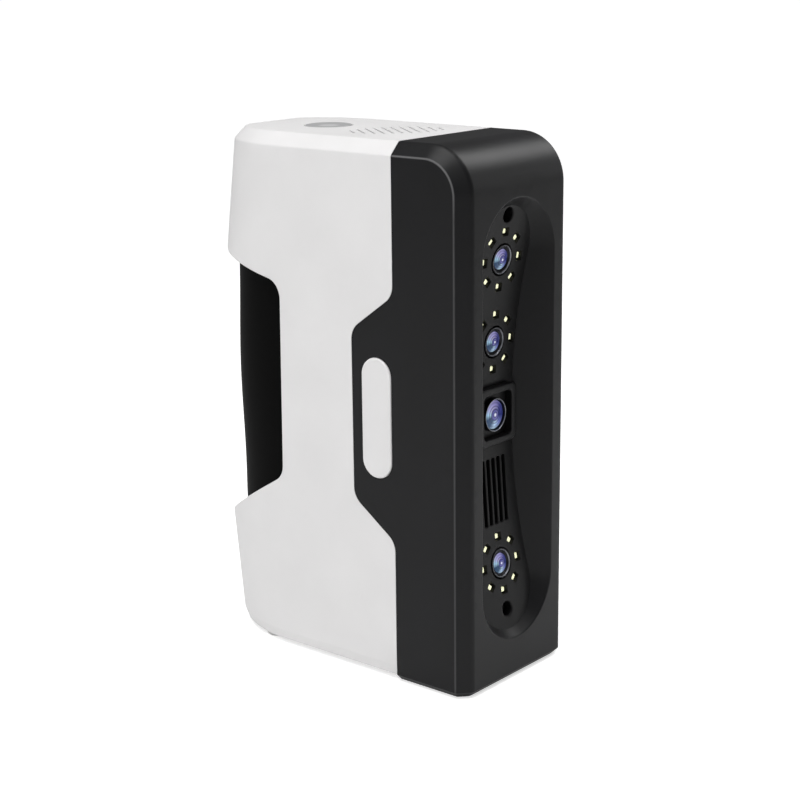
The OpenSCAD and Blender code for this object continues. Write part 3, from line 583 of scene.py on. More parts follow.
def coated_glass(name):
    """Painted reflections: a glint and rings round the axis, coloured parts near the rim, and a faint glow.
    """
    material, tree = blank(name)
    ring, turn = across_lens(tree)
    # Painted glint at the axis, then painted dark and violet rings
    middle = ramp(tree, ring, [
        (0.0, tone("#ffffff")), (0.08, tone("#dfe0ff")), (0.15, tone("#1a1c4a")), (0.26, tone("#5a55a0")),
        (0.36, tone("#1b1f4e"))])
    # Painted reflections of the surroundings, by direction round the axis
    painted_reflection_sectors = ramp(tree, turn, [
        (0.0, tone("#c2e2f4")), (0.09, tone("#17495a")), (0.20, tone("#0f3f52")), (0.27, tone("#b4e0ec")),
        (0.36, tone("#c6c4ea")), (0.50, tone("#a39bd0")), (0.63, tone("#4c4f94")), (0.78, tone("#3a4388")),
        (0.88, tone("#8590d2")), (1.0, tone("#c2e2f4"))])
    # Painted rings of the glasses behind the front one
    rings = ramp(tree, ring, [
        (0.46, tone("#ffffff")), (0.56, tone("#8f8fa0")), (0.64, tone("#f4f4ff")), (0.80, tone("#c4c4d2")),
        (0.90, tone("#ffffff")), (0.97, tone("#0c1218"))])
    outward = add(tree, "ShaderNodeMapRange", {"Value": ring, "From Min": 0.34, "From Max": 0.5},
                  interpolation_type="SMOOTHSTEP")
    painted_reflection_zones = add(tree, "ShaderNodeMix", {0: outward.outputs["Result"], 6: middle, 7: painted_reflection_sectors},
                data_type="RGBA")
    colour = add(tree, "ShaderNodeMix", {0: 1.0, 6: painted_reflection_zones.outputs[2], 7: rings}, data_type="RGBA",
                 blend_type="MULTIPLY")
    # The painted reflections also glow a little, though the glass gives no light of its own
    surface = add(tree, "ShaderNodeBsdfPrincipled", {
        "Base Color": colour.outputs[2], "Roughness": 0.06, "IOR": 1.6, "Specular Tint": tone("#a9b6ff"),
        "Emission Color": colour.outputs[2], "Emission Strength": 0.3})
    add(tree, "ShaderNodeOutputMaterial", {"Surface": surface.outputs["BSDF"]})
    return material


def alloy_with_painted_rim_highlight(name, highlight_start, highlight_end):
    """Black anodised barrel with a pale band on the rim, a painted highlight, between two shares of its
    radius.
    """
    material, tree = blank(name)
    ring, _ = across_lens(tree)
    where = add(tree, "ShaderNodeTexCoord").outputs["Object"]
    marks = add(tree, "ShaderNodeTexNoise", {"Vector": where, "Scale": per_metre(0.3), "Detail": 2.0})
    spread = add(tree, "ShaderNodeMapRange", {
        "Value": marks.outputs["Fac"], "To Min": 0.26, "To Max": 0.42})
    # The pale band on the rim is a painted highlight
    dark, rim_highlight_tone = tone("#1c1c1f"), tone("#9a9ca1")
    surface = add(tree, "ShaderNodeBsdfPrincipled", {
        "Base Color": ramp(tree, ring, [(highlight_start - 0.01, dark), (highlight_start, rim_highlight_tone), (highlight_end, rim_highlight_tone),
                                        (highlight_end + 0.01, dark)]),
        "Metallic": 0.7, "Roughness": spread.outputs["Result"]})
    add(tree, "ShaderNodeOutputMaterial", {"Surface": surface.outputs["BSDF"]})
    return material


def phosphor_resin(name):
    """Lamp package: pale yellow phosphor under clear resin, a touch brighter than its surroundings."""
    material, tree = blank(name)
    where = add(tree, "ShaderNodeTexCoord").outputs["Object"]
    specks = add(tree, "ShaderNodeTexNoise", {"Vector": where, "Scale": per_metre(0.5), "Detail": 2.0})
    surface = add(tree, "ShaderNodeBsdfPrincipled", {
        "Base Color": ramp(tree, specks.outputs["Fac"], [(0.35, tone("#eef0ba")), (0.65, tone("#fbfbdc"))]),
        "Roughness": 0.25, "IOR": 1.52, "Emission Color": tone("#fbfcd2"), "Emission Strength": 0.7})
    add(tree, "ShaderNodeOutputMaterial", {"Surface": surface.outputs["BSDF"]})
    return material


painted_reflection_glass = coated_glass("glass_with_painted_reflections")
lens_alloy = alloy_with_painted_rim_highlight("anodised_lens_barrel_alloy", 0.90, 0.935)
projector_alloy = alloy_with_painted_rim_highlight("anodised_projector_alloy", 0.92, 0.95)
lamp_resin = phosphor_resin("phosphor_lamp_resin")
print("glass and lamps ready")

# %% [markdown]
# ## Front housing
# The black housing is one moulding: two flat sides, two chamfers and the sensor face, which rolls over a
# wide brow into the top. It is a strip: a plan (side, chamfer, face, chamfer, side) carried along a path
# that rises, bends and runs back to the seam. A point that lies deeper in the plan follows the same bend
# with a smaller radius.

# %% Plan and path of the front housing
BROW = 21.0
BASE_CUT = 3.0
BASE_EDGE = 0.5
EDGE = 1.6
FACE_EDGE = 3.5
SIDE_LAP = 3.0
LAP = CHAMFER + SIDE_LAP
plan_corners = [(-HALF, LAP), (-HALF, CHAMFER), (CHAMFER - HALF, 0),
                (HALF - CHAMFER, 0), (HALF, CHAMFER), (HALF, LAP)]
plan = rounded(plan_corners, [0, EDGE, FACE_EDGE, FACE_EDGE, EDGE, 0], closed=False)
plan_run = run_along(plan)
HALF_TURN = math.tan(math.pi / 8)
# How far each corner of the plan moves in x and in depth for a millimetre of inset at the base
corner_draw = np.array([(1, 0), (1, HALF_TURN), (HALF_TURN, 1), (-HALF_TURN, 1), (-1, HALF_TURN), (-1, 0)])
arc_points = (len(plan) - 2) // 4
plan_draw = np.repeat(corner_draw, [1, arc_points, arc_points, arc_points, arc_points, 1], axis=0)
FACE_MIDDLE = plan_run[-1] / 2
BASE_LAP = 1.0
BASE_TOP = 4.0
base_profile = rounded([(BASE_CUT + BASE_LAP, 0), (BASE_CUT, 0), (0, BASE_CUT), (0, BASE_TOP)],
                       [0, BASE_EDGE, BASE_EDGE, 0], closed=False)
base_inset, base_level = base_profile.T
base_run = run_along(base_profile)
base_run += BASE_TOP - base_run[-1]
BROW_START = HEIGHT - BROW
BROW_END = BROW_START + BROW * np.pi / 2
TOP_END = BROW_END + SEAM - BROW


def base_at(v):
    """Inset and height at v: a flat cut at the ground, then straight up."""
    inset = np.interp(v, base_run, base_inset)
    return inset, np.where(v > base_run[-1], v, np.interp(v, base_run, base_level))


def front_strip(u, v):
    """Plan at u carried along the path at v: up, round the brow at its radius less the depth, then back."""
    inset, level = base_at(v)
    x, deep = (np.interp(u, plan_run, plan[:, k]) + inset * np.interp(u, plan_run, plan_draw[:, k])
               for k in (0, 1))
    turn = np.clip((v - BROW_START) / BROW, 0, np.pi / 2)
    y = np.where(v > BROW_START, BROW - (BROW - deep) * np.cos(turn), deep) + np.maximum(v - BROW_END, 0)
    z = np.where(v > BROW_START, BROW_START + (BROW - deep) * np.sin(turn), level)
    return np.stack([x, y, z], -1)


strip_across = np.unique(np.concatenate([plan_run, np.linspace(0, plan_run[-1], 9)]))
ROW = 5.0
BROW_ROWS, TOP_ROWS = 25, 4
strip_up = np.concatenate([
    base_run, np.arange(ROW, BROW_START - ROW / 2, ROW), np.linspace(BROW_START, BROW_END, BROW_ROWS),
    np.linspace(BROW_END, TOP_END, TOP_ROWS)[1:]])
print(f"plan {plan_run[-1]:.1f} mm across, path {TOP_END - base_run[0]:.1f} mm long")

# %% [markdown]
# ## Sensor recess
# The recess is an upright slot with slanted walls that end on a hollow panel. The panel is part of a wide
# cylinder, because all cameras look at one point half a metre away. So the wall's depth changes with
# height, and it is found by a short iteration: go in, look how deep the panel lies there, and correct.

# %% Mouth and wall of the recess
MOUTH_HALF = 25.5
MOUTH_RISE = 73.0
MOUTH_MIDDLE = MIDDLE - 2.5
DRAFT = 0.8
PANEL_RADIUS = 463.0
PANEL_DEPTH = 14.3


def panel_at(z):
    """Depth of the hollow panel at a height: a circle about the working point."""
    return PANEL_DEPTH - PANEL_RADIUS + np.sqrt(PANEL_RADIUS ** 2 - (z - MIDDLE) ** 2)


FIRST_GUESS, ROUNDS = 8.0, 30
mouth = wound(stadium(FACE_MIDDLE, MOUTH_MIDDLE, MOUTH_HALF, MOUTH_RISE, steps=40, straight=23), False)
inward = (moved(mouth, 1.0) - mouth)[:, 1]
wall_depth = np.full(len(mouth), FIRST_GUESS)
for _ in range(ROUNDS):
    wall_depth = panel_at(mouth[:, 1] + inward * DRAFT * wall_depth)
WALL_GAP = 0.05
RECESS_WALL = 3.0
MOUTH_LAP = 3.4
MOUTH_EDGE = 1.0
WALL_TOP, WALL_RINGS = 2.0, 7
mouth_corner = [(-MOUTH_LAP, 0), (0, 0), (2 * WALL_TOP * DRAFT, 2 * WALL_TOP)]
mouth_turn = rounded(mouth_corner, [0, MOUTH_EDGE, 0], closed=False, step=12)[:-1]
foot = wall_depth - WALL_GAP
mouth_profile = [tuple(p) for p in mouth_turn]
for share in np.linspace(0, 1, WALL_RINGS):
    depth = WALL_TOP + share * (foot - WALL_TOP)
    mouth_profile.append((DRAFT * depth, depth))
mouth_profile += [(DRAFT * foot - RECESS_WALL, foot), (-MOUTH_LAP, WALL)]
print(f"recess wall {foot.min():.1f} to {foot.max():.1f} mm deep")

# %% [markdown]
# ## Sides and ears
# Each side is a flat face that ends at the seam, apart from the ear: a trapezoid that reaches back over the
# white shell, with a pocket for the badge. The side meets the strip point by point, so its front border is
# the strip's own edge. A plain base closes the housing below.

# %% Sides, ears and base of the front housing
EAR_HEIGHT = 76.0
EAR_SLANT = 17.0
EAR_ROUND = 9.0
EAR_RUN_OUT = 20.0
SIDE_COLUMNS = (12, 22, 32)
BADGE_LENGTH = 54.0
BADGE_WIDTH = 16.4
BADGE_GAP = 0.15
BADGE_PLACE = (SEAM + EAR_BACK) / 2 - 2
ear_low, ear_high = MIDDLE - EAR_HEIGHT / 2, MIDDLE + EAR_HEIGHT / 2


def ear_edge(seam, back):
    """The seam's line on a side, bottom to top, with the ear's four rounded corners."""
    corners = [(seam, ear_low - EAR_SLANT - EAR_RUN_OUT), (seam, ear_low - EAR_SLANT), (back, ear_low),
               (back, ear_high), (seam, ear_high + EAR_SLANT), (seam, ear_high + EAR_SLANT + EAR_RUN_OUT)]
    return rounded(corners, [0, EAR_ROUND, EAR_ROUND, EAR_ROUND, EAR_ROUND, 0], closed=False, step=6)


def pill(grow=0.0):
    """Badge outline, grown by the gap round it."""
    return stadium(BADGE_PLACE, MIDDLE, BADGE_WIDTH / 2 + grow, (BADGE_LENGTH - BADGE_WIDTH) / 2)


seam_edge = ear_edge(SEAM, EAR_BACK)
strip_side = front_strip(np.zeros(len(strip_up)), strip_up)
side_front = np.stack([strip_side[:, 1], np.where(strip_up <= BASE_TOP, strip_up, strip_side[:, 2])], 1)
side_back = np.vstack([column(SEAM, base_run), seam_edge])
side_border = np.vstack([side_back, side_front[::-1]])
POCKET_EDGE = 0.2
pocket_profile = cut_edge(POCKET_EDGE, WALL)


def side_face(side):
    """Flat side at plus or minus the half width, drawn in toward the base by the base round."""
    def surface(u, v):
        inset, level = base_at(v)
        return np.stack([side * (HALF - inset), side * u + 0 * v, level + 0 * u], -1)
    return surface


strip_border = lattice_border(strip_across, strip_up)
front_skins = [skin(front_strip, strip_border, [(mouth, mouth_profile)], strip_across, strip_up)]
for side in (-1, 1):
    mirror = np.array([side, 1])
    badge_pocket = [(pill(BADGE_GAP) * mirror, pocket_profile)]
    side_columns = [side * y for y in SIDE_COLUMNS]
    front_skins.append(skin(side_face(side), side_border * mirror, badge_pocket, side_columns, base_run))
bottom_edge = front_strip(strip_across, np.full(len(strip_across), strip_up[0]))[:, :2]
base_half = HALF - base_inset[0]
base_border = np.vstack([bottom_edge, [(base_half, SEAM), (-base_half, SEAM)]])
front_skins.append(skin(lambda u, v: np.stack([u, -v, 0 * u], -1), base_border * [1, -1]))
housing = piece("front_housing_skin", shell(*front_skins), "scanner", ["front_housing"], black_abs)

# %% [markdown]
# ## Painted highlight on the housing's edge
# A lamp is mirrored in the rounded edge between side and chamfer, most of all on the brow. That highlight is
# painted into the colour: each point stores how much paler it is, fully on the edge itself, not at all two
# thirds of a millimetre away, and about a third as much below the brow, where less light falls from above.

# %% Painted highlight along the chamfer's edge
SHEEN_FADE_LOW, SHEEN_FADE_HIGH = BROW_START - 8, BROW_START + 12
SHEEN_BELOW = 0.37
x, y, z = (spots(housing.data) / MM - [0, FACE, 0]).T
round_brow = np.where(y < BROW, BROW - np.hypot(BROW - y, z - BROW_START), HEIGHT - z)
from_edge = np.hypot(np.abs(x) - HALF, np.where(z < BROW_START, y, round_brow) - CHAMFER)
# Strength of the painted highlight by height: about a third below the brow, full on it
sheen_by_height = np.interp(z, [SHEEN_FADE_LOW, SHEEN_FADE_HIGH], [SHEEN_BELOW, 1.0])
pale_share = sheen_by_height * np.clip(1 - from_edge / (EDGE * HALF_TURN), 0, 1)
store(housing.data, "sheen_and_wear", pale_share)
# Number of points that carry the painted highlight
print("worn points", int(np.sum(pale_share > 0)))

# %% [markdown]
# ## Rear shell
# The white shell has flat sides that turn through long elliptical corners into the back. Seen from the side
# it leans forward above and below the grip. Its skin is a plan curve carried up a profile: heel, straight
# wall and a flat chamfer under the top. Each height draws the plan in a little and leans its back forward a
# little.

# %% Plan and profile of the rear shell
CORNER_X = 25.0
CORNER_Y = 45.0
HEEL = 5.0
LEAN_START = 78.0
LOWER_LIP, UPPER_LIP = MIDDLE - 63, MIDDLE + 64
# Heights, and how far the back leans forward at each of them
lean_levels = [REAR_LOW, REAR_LOW + HEEL, LOWER_LIP, UPPER_LIP, HEIGHT - CHAMFER, HEIGHT]
lean_sizes = [6.4, 5.3, 0.0, 2.0, 9.1, 9.1]
bend = np.linspace(0, np.pi / 2, 25)
half_plan = np.vstack([
    [(HALF, REAR_START), (HALF, LEAN_START)],
    np.stack([HALF - CORNER_X + CORNER_X * np.cos(bend), DEPTH - CORNER_Y + CORNER_Y * np.sin(bend)], 1)])
half_draw = np.vstack([[(1, 0), (1, 0)], np.stack([np.cos(bend), np.sin(bend)], 1)])
half_share = np.concatenate([[0, 0], np.ones(len(bend))])
rear_plan = np.vstack([half_plan, half_plan[::-1] * [-1, 1]])
rear_draw = np.vstack([half_draw, half_draw[::-1] * [-1, 1]])
rear_share = np.concatenate([half_share, half_share[::-1]])
rear_run = run_along(rear_plan)
TOP_LAP = 1.5
TOP_EDGE = 1.6
HEEL_DRAW, HEEL_LAP = 1.2, 0.25
HEEL_EDGE, HEEL_ROUND = 0.3, 6.0
profile_corners = [(HEEL_DRAW + HEEL_LAP, REAR_LOW), (HEEL_DRAW, REAR_LOW), (0, REAR_LOW + HEEL),
                   (0, HEIGHT - CHAMFER), (CHAMFER, HEIGHT), (CHAMFER + TOP_LAP, HEIGHT)]
rear_profile = rounded(profile_corners, [0, HEEL_EDGE, HEEL_ROUND, TOP_EDGE, TOP_EDGE, 0], closed=False)
profile_run = run_along(rear_profile)
# The run is shifted so that it equals the height along the straight wall
straight = np.argmax(rear_profile[:, 1] > MIDDLE) - 1
profile_run += rear_profile[straight, 1] - profile_run[straight]


def rear_plan_at(u, inset):
    """Place on the rear plan at u, drawn in by an inset."""
    return [np.interp(u, rear_run, rear_plan[:, k]) - inset * np.interp(u, rear_run, rear_draw[:, k])
            for k in (0, 1)]


def rear_side(u, v):
    """Plan at u, drawn in and leaned as the profile at v says."""
    inset, level = (np.interp(v, profile_run, rear_profile[:, k]) for k in (0, 1))
    lean = np.interp(level, lean_levels, lean_sizes) * np.interp(u, rear_run, rear_share)
    x, y = rear_plan_at(u, inset)
    return np.stack([x, y - lean, level], -1)


rear_rows = np.arange(REAR_LOW + HEEL + ROW, HEIGHT - CHAMFER - ROW, ROW)
rear_up = np.unique(np.concatenate([profile_run, [LOWER_LIP, UPPER_LIP], rear_rows]))
flat_columns = np.arange(ROW, LEAN_START - REAR_START, ROW)
back_columns = rear_run[-1] / 2 + ROW * np.arange(-2, 3)
rear_across = np.unique(np.concatenate([rear_run, flat_columns, rear_run[-1] - flat_columns, back_columns]))
print(f"plan {rear_run[-1]:.1f} mm round, profile {profile_run[0]:.1f} to {profile_run[-1]:.1f}")

# %% [markdown]
# ## Grip window
# The window runs from one side round the back to the other, so in the unrolled skin it is one long hole.
# Its front corners are round, its lower edge falls and its upper edge rises towards the back. The lip turns
# in and ends on the grip, so its profile is deeper than the wall.

# %% Window, socket hole and border of the rear shell
WINDOW_FRONT = DEPTH - 50.5
WINDOW_LOW, WINDOW_HIGH = MIDDLE - 37.0, MIDDLE + 53.0
WINDOW_FALL, WINDOW_CLIMB = 0.6, 0.2
WINDOW_ROUND = 9.0
GRIP_INSET = 7.1
LIP = 2.4
LIP_EDGE = 1.1
CORNER_REACH = 14.0
corner_part = rounded([(WINDOW_FRONT + CORNER_REACH, WINDOW_HIGH + WINDOW_CLIMB * CORNER_REACH),
                       (WINDOW_FRONT, WINDOW_HIGH), (WINDOW_FRONT, WINDOW_LOW),
                       (WINDOW_FRONT + CORNER_REACH, WINDOW_LOW - WINDOW_FALL * CORNER_REACH)],
                      [0, WINDOW_ROUND, WINDOW_ROUND, 0], closed=False, step=7)
first_half = len(half_plan)
front_run = np.interp(corner_part[:, 0], half_plan[:, 1], rear_run[:first_half])
CLEAR = 0.5
between = (rear_across[1:] + rear_across[:-1]) / 2
back_run = between[np.abs(between - rear_run[-1] / 2) < rear_run[-1] / 2 - front_run[-1] - CLEAR]
back_depth = np.interp(back_run, rear_run, rear_plan[:, 1]) - WINDOW_FRONT
window = np.vstack([
    np.stack([front_run, corner_part[:, 1]], 1),
    np.stack([back_run, WINDOW_LOW - WINDOW_FALL * back_depth], 1),
    np.stack([rear_run[-1] - front_run[::-1], corner_part[::-1, 1]], 1),
    np.stack([back_run[::-1], WINDOW_HIGH + WINDOW_CLIMB * back_depth[::-1]], 1)])
LIP_GAP = 0.05
lip_end = GRIP_INSET - LIP_GAP
window_profile = [(-LIP, 0)] + edge_round(LIP_EDGE, 7) + [(0, lip_end), (-LIP, lip_end), (-LIP, WALL)]
SOCKET_HEIGHT = 32.0
SOCKET_WELL = 9.0
SOCKET_SEAT = DEPTH - 9.0
SOCKET_LAP, SOCKET_THROAT, SOCKET_BOSS = 3.0, 2.95, 5.0
SOCKET_EDGE = 0.5
socket_ring = circle_outline(rear_run[-1] / 2, SOCKET_HEIGHT, SOCKET_WELL, 72)
well_depth = DEPTH - np.interp(SOCKET_HEIGHT, lean_levels, lean_sizes) - SOCKET_SEAT
boss_end = well_depth + SOCKET_BOSS
socket_profile = [(-SOCKET_LAP, 0)] + edge_round(SOCKET_EDGE) + [
    (0, well_depth), (SOCKET_THROAT, well_depth), (SOCKET_THROAT, boss_end), (-SOCKET_LAP, boss_end),
    (-SOCKET_LAP, WALL)]
notch = seam_edge + [SEAM_GAP - REAR_START, 0]
lower = profile_run[profile_run < notch[0, 1]]
upper = profile_run[profile_run > notch[-1, 1]]
edge_up = np.vstack([column(0, lower), notch, column(0, upper)])
far_side = edge_up * [-1, 1] + [rear_run[-1], 0]
band_border = np.vstack([row(rear_across[1:-1], profile_run[0]), far_side,
                         row(rear_across[-2:0:-1], profile_run[-1]), edge_up[::-1]])
rear_band = skin(rear_side, band_border, [(window, window_profile), (socket_ring, socket_profile)],
                 rear_across, rear_up)
print("window", len(window), "points, net", len(rear_band[2]), "triangles")

# %% [markdown]
# ## Top and underside of the rear shell
# The top is flat, with an oval field of slanted vents over the fan and the round hole of the button. The
# underside has the seats of two rubber feet and of the tripod insert. Both are bordered by the skin's own
# last ring, so the shell closes without a seam.

# %% Top with vents, underside, and the finished rear shell
VENTS = 11
VENT_PITCH = 4.0
VENT_TURN = 52.0
VENT_LENGTH, VENT_WIDE = 28.0, 1.0
VENT_REACH = 22.0
VENT_ROUND = 0.45
SEAT_GAP = 0.05
FAN_PLACE = 67.0
BUTTON_PLACE = 107.0
BUTTON_RADIUS = 10.7
BUTTON_GAP = 0.4
FOOT_SIDE, FOOT_PLACE, FOOT_RADIUS = 28.0, DEPTH - 37, 6.0
TRIPOD_PLACE, INSERT_RADIUS = 80.0, 5.0
thin_edge = cut_edge(0.2, WALL)
seat_edge = cut_edge(0.1, WALL)
button_edge = cut_edge(0.5, WALL, 5)
top_border = rear_side(rear_across, np.full(len(rear_across), profile_run[-1]))[:, :2]
low_border = rear_side(rear_across, np.full(len(rear_across), profile_run[0]))[:, :2]
slant = math.radians(VENT_TURN)
vents = []
for k in range(VENTS):
    aside = VENT_PITCH * (k - (VENTS - 1) / 2)
    length = VENT_LENGTH * math.sqrt(1 - (aside / VENT_REACH) ** 2)
    spot = (-aside * math.sin(slant), FAN_PLACE + aside * math.cos(slant))
    vents.append((box_outline(*spot, length, VENT_WIDE, VENT_ROUND, VENT_TURN), thin_edge))
button_hole = (circle_outline(0, BUTTON_PLACE, BUTTON_RADIUS + BUTTON_GAP, 96), button_edge)
seats = [(circle_outline(side * FOOT_SIDE, -FOOT_PLACE, FOOT_RADIUS + SEAT_GAP), seat_edge)
         for side in (-1, 1)]
seats.append((circle_outline(0, -TRIPOD_PLACE, INSERT_RADIUS + SEAT_GAP), thin_edge))
rear_top = skin(lambda u, v: np.stack([u, v, HEIGHT + 0 * u], -1), top_border, vents + [button_hole])
rear_base = skin(lambda u, v: np.stack([u, -v, REAR_LOW + 0 * u], -1), low_border * [1, -1], seats)
piece("rear_shell_skin", shell(rear_band, rear_top, rear_base), "scanner", ["rear_shell"], white_abs)

# %% [markdown]
# ## Grip
# The grip is a rubber sleeve in the window, about 7 mm lower than the shell. It swells very slightly
# at the height of the palm. It is the rear plan again, drawn in and carried straight up, so it runs on
# under the lips.

# %% Grip sleeve
GRIP_LOW, GRIP_HIGH = (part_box("grip_pad")[k].z / MM for k in (0, 1))
GRIP_START = WINDOW_FRONT - 10
GRIP_THICK = 3.0
BELLY = 1.3
BELLY_HEIGHT = 128.0
BELLY_SPAN = 52.0
grip_first = np.interp(GRIP_START, half_plan[:, 1], rear_run[:first_half])


def grip_skin(u, v):
    """Plan drawn in by the grip's depth, less a cosine swell about the height of the palm."""
    swell = BELLY * np.cos(np.clip((v - BELLY_HEIGHT) / BELLY_SPAN, -1, 1) * np.pi / 2) ** 2
    inset = GRIP_INSET - swell * np.interp(u, rear_run, rear_draw[:, 1])
    x, y = rear_plan_at(u, inset)
    return np.stack([x, y, v + 0 * u], -1)


GRIP_ROWS = 40
grip_last = rear_run[-1] - grip_first
grip_inner = rear_run[(rear_run > grip_first + 1) & (rear_run < grip_last - 1)]
grip_across = np.concatenate([[grip_first], grip_inner, [grip_last]])
grip_up = np.linspace(GRIP_LOW, GRIP_HIGH, GRIP_ROWS)
grip_border = lattice_border(grip_across, grip_up)
grip_wall = skin(grip_skin, grip_border, (), grip_across, grip_up, GRIP_THICK)
piece("grip_sleeve", shell(grip_wall), "scanner", ["grip_pad"], grip_rubber)

# %% [markdown]
# ## Badges
# A plain pill of white plastic sits in each ear's pocket and hides two case screws. It stands 0.6 mm proud
# and its edge is rolled, so it is a stack of rings over one outline: nearly flat on top, then over the edge
# and down.

# %% Badges
BADGE_SUNK = 1.1
BADGE_PROUD = 0.6
BADGE_EDGE = 0.9
# The rolled edge is a little shallower than it is wide
BADGE_ROLL = 0.9
BADGE_FOOT = 0.2
FLAT_RINGS = (-2.4, -1.4)


def side_space(side):
    """Flat y, z and depth on a side of the scanner to space."""
    def to_space(flat, depth):
        return np.stack([np.full(len(flat), side * (HALF - depth)), flat[:, 0], flat[:, 1]], 1)
    return to_space


badge_profile = [(out, -BADGE_PROUD) for out in FLAT_RINGS]
badge_profile += [(out, depth * BADGE_ROLL - BADGE_PROUD) for out, depth in edge_round(BADGE_EDGE, 8)]
badge_profile += [(0, BADGE_SUNK - BADGE_FOOT), (-BADGE_FOOT, BADGE_SUNK)]
for name, side in (("left", -1), ("right", 1)):
    piece(f"badge_{name}_pill", prism(pill(), badge_profile, side_space(side)), "scanner",
          [f"badge_{name}"], white_abs)

# %% [markdown]
# ## Sensor panel
# The panel is a piece of a wide cylinder with many openings: three lenses, eight lamp windows round each,
# the square of the projector, five vent slots and two screw pockets. Its flat coordinates are x and the
# length along the arc, so every opening is drawn as on paper and then bent with the panel.

# %% Panel places and openings
CAMERAS = {"upper": 8.5, "middle": 3.95, "lower": -8.5}
PROJECTOR = -0.08
SCREW_ANGLES = (10.95, -11.1)
LAMP_RING = 12.3
LENS_RADIUS = 6.6
LAMPS = 8
PANEL_THICK = 2.5
PANEL_HALF, PANEL_RISE = 22.0, 77.0
PANEL_COLUMNS = (-18, -9, 0, 9, 18)
PANEL_REACH, PANEL_ROWS = 96.0, 49
LENS_GAP, LENS_HOLE_EDGE = 0.5, 0.45
LAMP_WINDOW = (4.1, 3.6)
LAMP_WINDOW_CORNER, LAMP_WINDOW_EDGE = 0.5, 0.25
PROJECTOR_CUT = 22.8
PROJECTOR_CUT_CORNER, PROJECTOR_CUT_EDGE = 1.2, 0.3
SLOTS = 5
SLOT_PITCH = 3.7
SLOT_PLACE = -35.5
SLOT_WIDE, SLOT_LONG = 2.2, 30.0
SLOT_CORNER, SLOT_EDGE = 0.7, 0.4
SCREW_POCKET, SCREW_LAP, SCREW_EDGE = 3.25, 1.35, 0.6
SCREW_SEAT, SCREW_SEAT_THICK, SCREW_STEP = 5.5, 2.0, 1.55


def on_panel(angle):
    """Local x and z along the skin, with depth inward, to space at an angle on the panel's cylinder."""
    cosine, sine = math.cos(math.radians(angle)), math.sin(math.radians(angle))

    def to_space(flat, depth):
        x, up = np.asarray(flat, float).T
        out = PANEL_RADIUS + depth + 0 * x
        y = PANEL_DEPTH - PANEL_RADIUS + out * cosine - up * sine
        z = MIDDLE + out * sine + up * cosine
        return np.stack([x, y, z], 1)
    return to_space


def panel_skin(u, v):
    """x and arc length to the cylinder's inner face."""
    angle = v / PANEL_RADIUS
    y = PANEL_DEPTH - PANEL_RADIUS + PANEL_RADIUS * np.cos(angle)
    return np.stack([u, y, MIDDLE + PANEL_RADIUS * np.sin(angle)], -1)


def arc(angle):
    """Length along the panel at an angle in degrees."""
    return PANEL_RADIUS * math.radians(angle)


def edged(radius):
    """Rounded edge, then straight through the panel."""
    return cut_edge(radius, PANEL_THICK, 4)


# Place of each lamp about its lens, and the angle at which it is turned
lamp_places = []
for k in range(LAMPS):
    turn = 2 * math.pi * k / LAMPS
    lamp_places.append((LAMP_RING * math.sin(turn), LAMP_RING * math.cos(turn), -math.degrees(turn)))
openings = []
for angle in CAMERAS.values():
    openings.append((circle_outline(0, arc(angle), LENS_RADIUS + LENS_GAP, 72), edged(LENS_HOLE_EDGE)))
    for x, up, turn in lamp_places:
        lamp_window = box_outline(x, arc(angle) + up, *LAMP_WINDOW, LAMP_WINDOW_CORNER, turn)
        openings.append((lamp_window, edged(LAMP_WINDOW_EDGE)))
projector_cut = box_outline(0, arc(PROJECTOR), PROJECTOR_CUT, PROJECTOR_CUT, PROJECTOR_CUT_CORNER)
openings.append((projector_cut, edged(PROJECTOR_CUT_EDGE)))
for k in range(SLOTS):
    slot_x = SLOT_PITCH * (k - (SLOTS - 1) / 2)
    slot = box_outline(slot_x, SLOT_PLACE, SLOT_WIDE, SLOT_LONG, SLOT_CORNER)
    openings.append((slot, edged(SLOT_EDGE)))
seat_end = SCREW_SEAT + SCREW_SEAT_THICK
screw_pocket = [(-SCREW_LAP, 0)] + edge_round(SCREW_EDGE) + [
    (0, SCREW_SEAT), (SCREW_STEP, SCREW_SEAT), (SCREW_STEP, seat_end), (-SCREW_LAP, seat_end),
    (-SCREW_LAP, PANEL_THICK)]
openings += [(circle_outline(0, arc(angle), SCREW_POCKET, 48), screw_pocket) for angle in SCREW_ANGLES]
print("openings in the panel", len(openings))

# %% [markdown]
# ## Panel skin
# With all its openings drawn, the panel is one call of the skin function. Extra rows of points keep the
# hollow smooth between the openings.

# %% Panel
panel_border = stadium(0, 0, PANEL_HALF, PANEL_RISE, steps=32, straight=20)
panel_up = np.linspace(-PANEL_REACH, PANEL_REACH, PANEL_ROWS)
panel = skin(panel_skin, panel_border, openings, PANEL_COLUMNS, panel_up, PANEL_THICK)
piece("sensor_panel_skin", shell(panel), "scanner", ["sensor_panel"], panel_abs)

# %% [markdown]
# ## Lenses
# A board lens is a turned barrel with a rim and a sunk, domed front glass. Both are lathe work: a profile
# of radius and depth turned about the lens's axis. Both also store where each point lies across the lens,
# which the painted reflections and the painted rim highlight read.

# %% Lens barrels and glasses
def lens_places(thing, to_space, radius):
    """Stores each point's place across the lens in radii: lens_x to the side, lens_up along the panel."""
    middle, side_tip, up_tip = place(to_space([(0, 0), (1, 0), (0, 1)], 0))
    offset = (spots(thing.data) - middle) / (radius * MM)
    for name, tip in (("lens_x", side_tip), ("lens_up", up_tip)):
        store(thing.data, name, offset @ unit(tip - middle))


def glass_profile(radius, edge, apex, seat, rings=24):
    """Domed front as a parabola from the apex to the edge, a short cylindrical edge and a flat back."""
    out = np.linspace(0, radius, rings)
    front = np.stack([out, apex + (edge - apex) * (out / radius) ** 2], 1)
    return np.vstack([front, [(radius, seat), (0, seat)]])


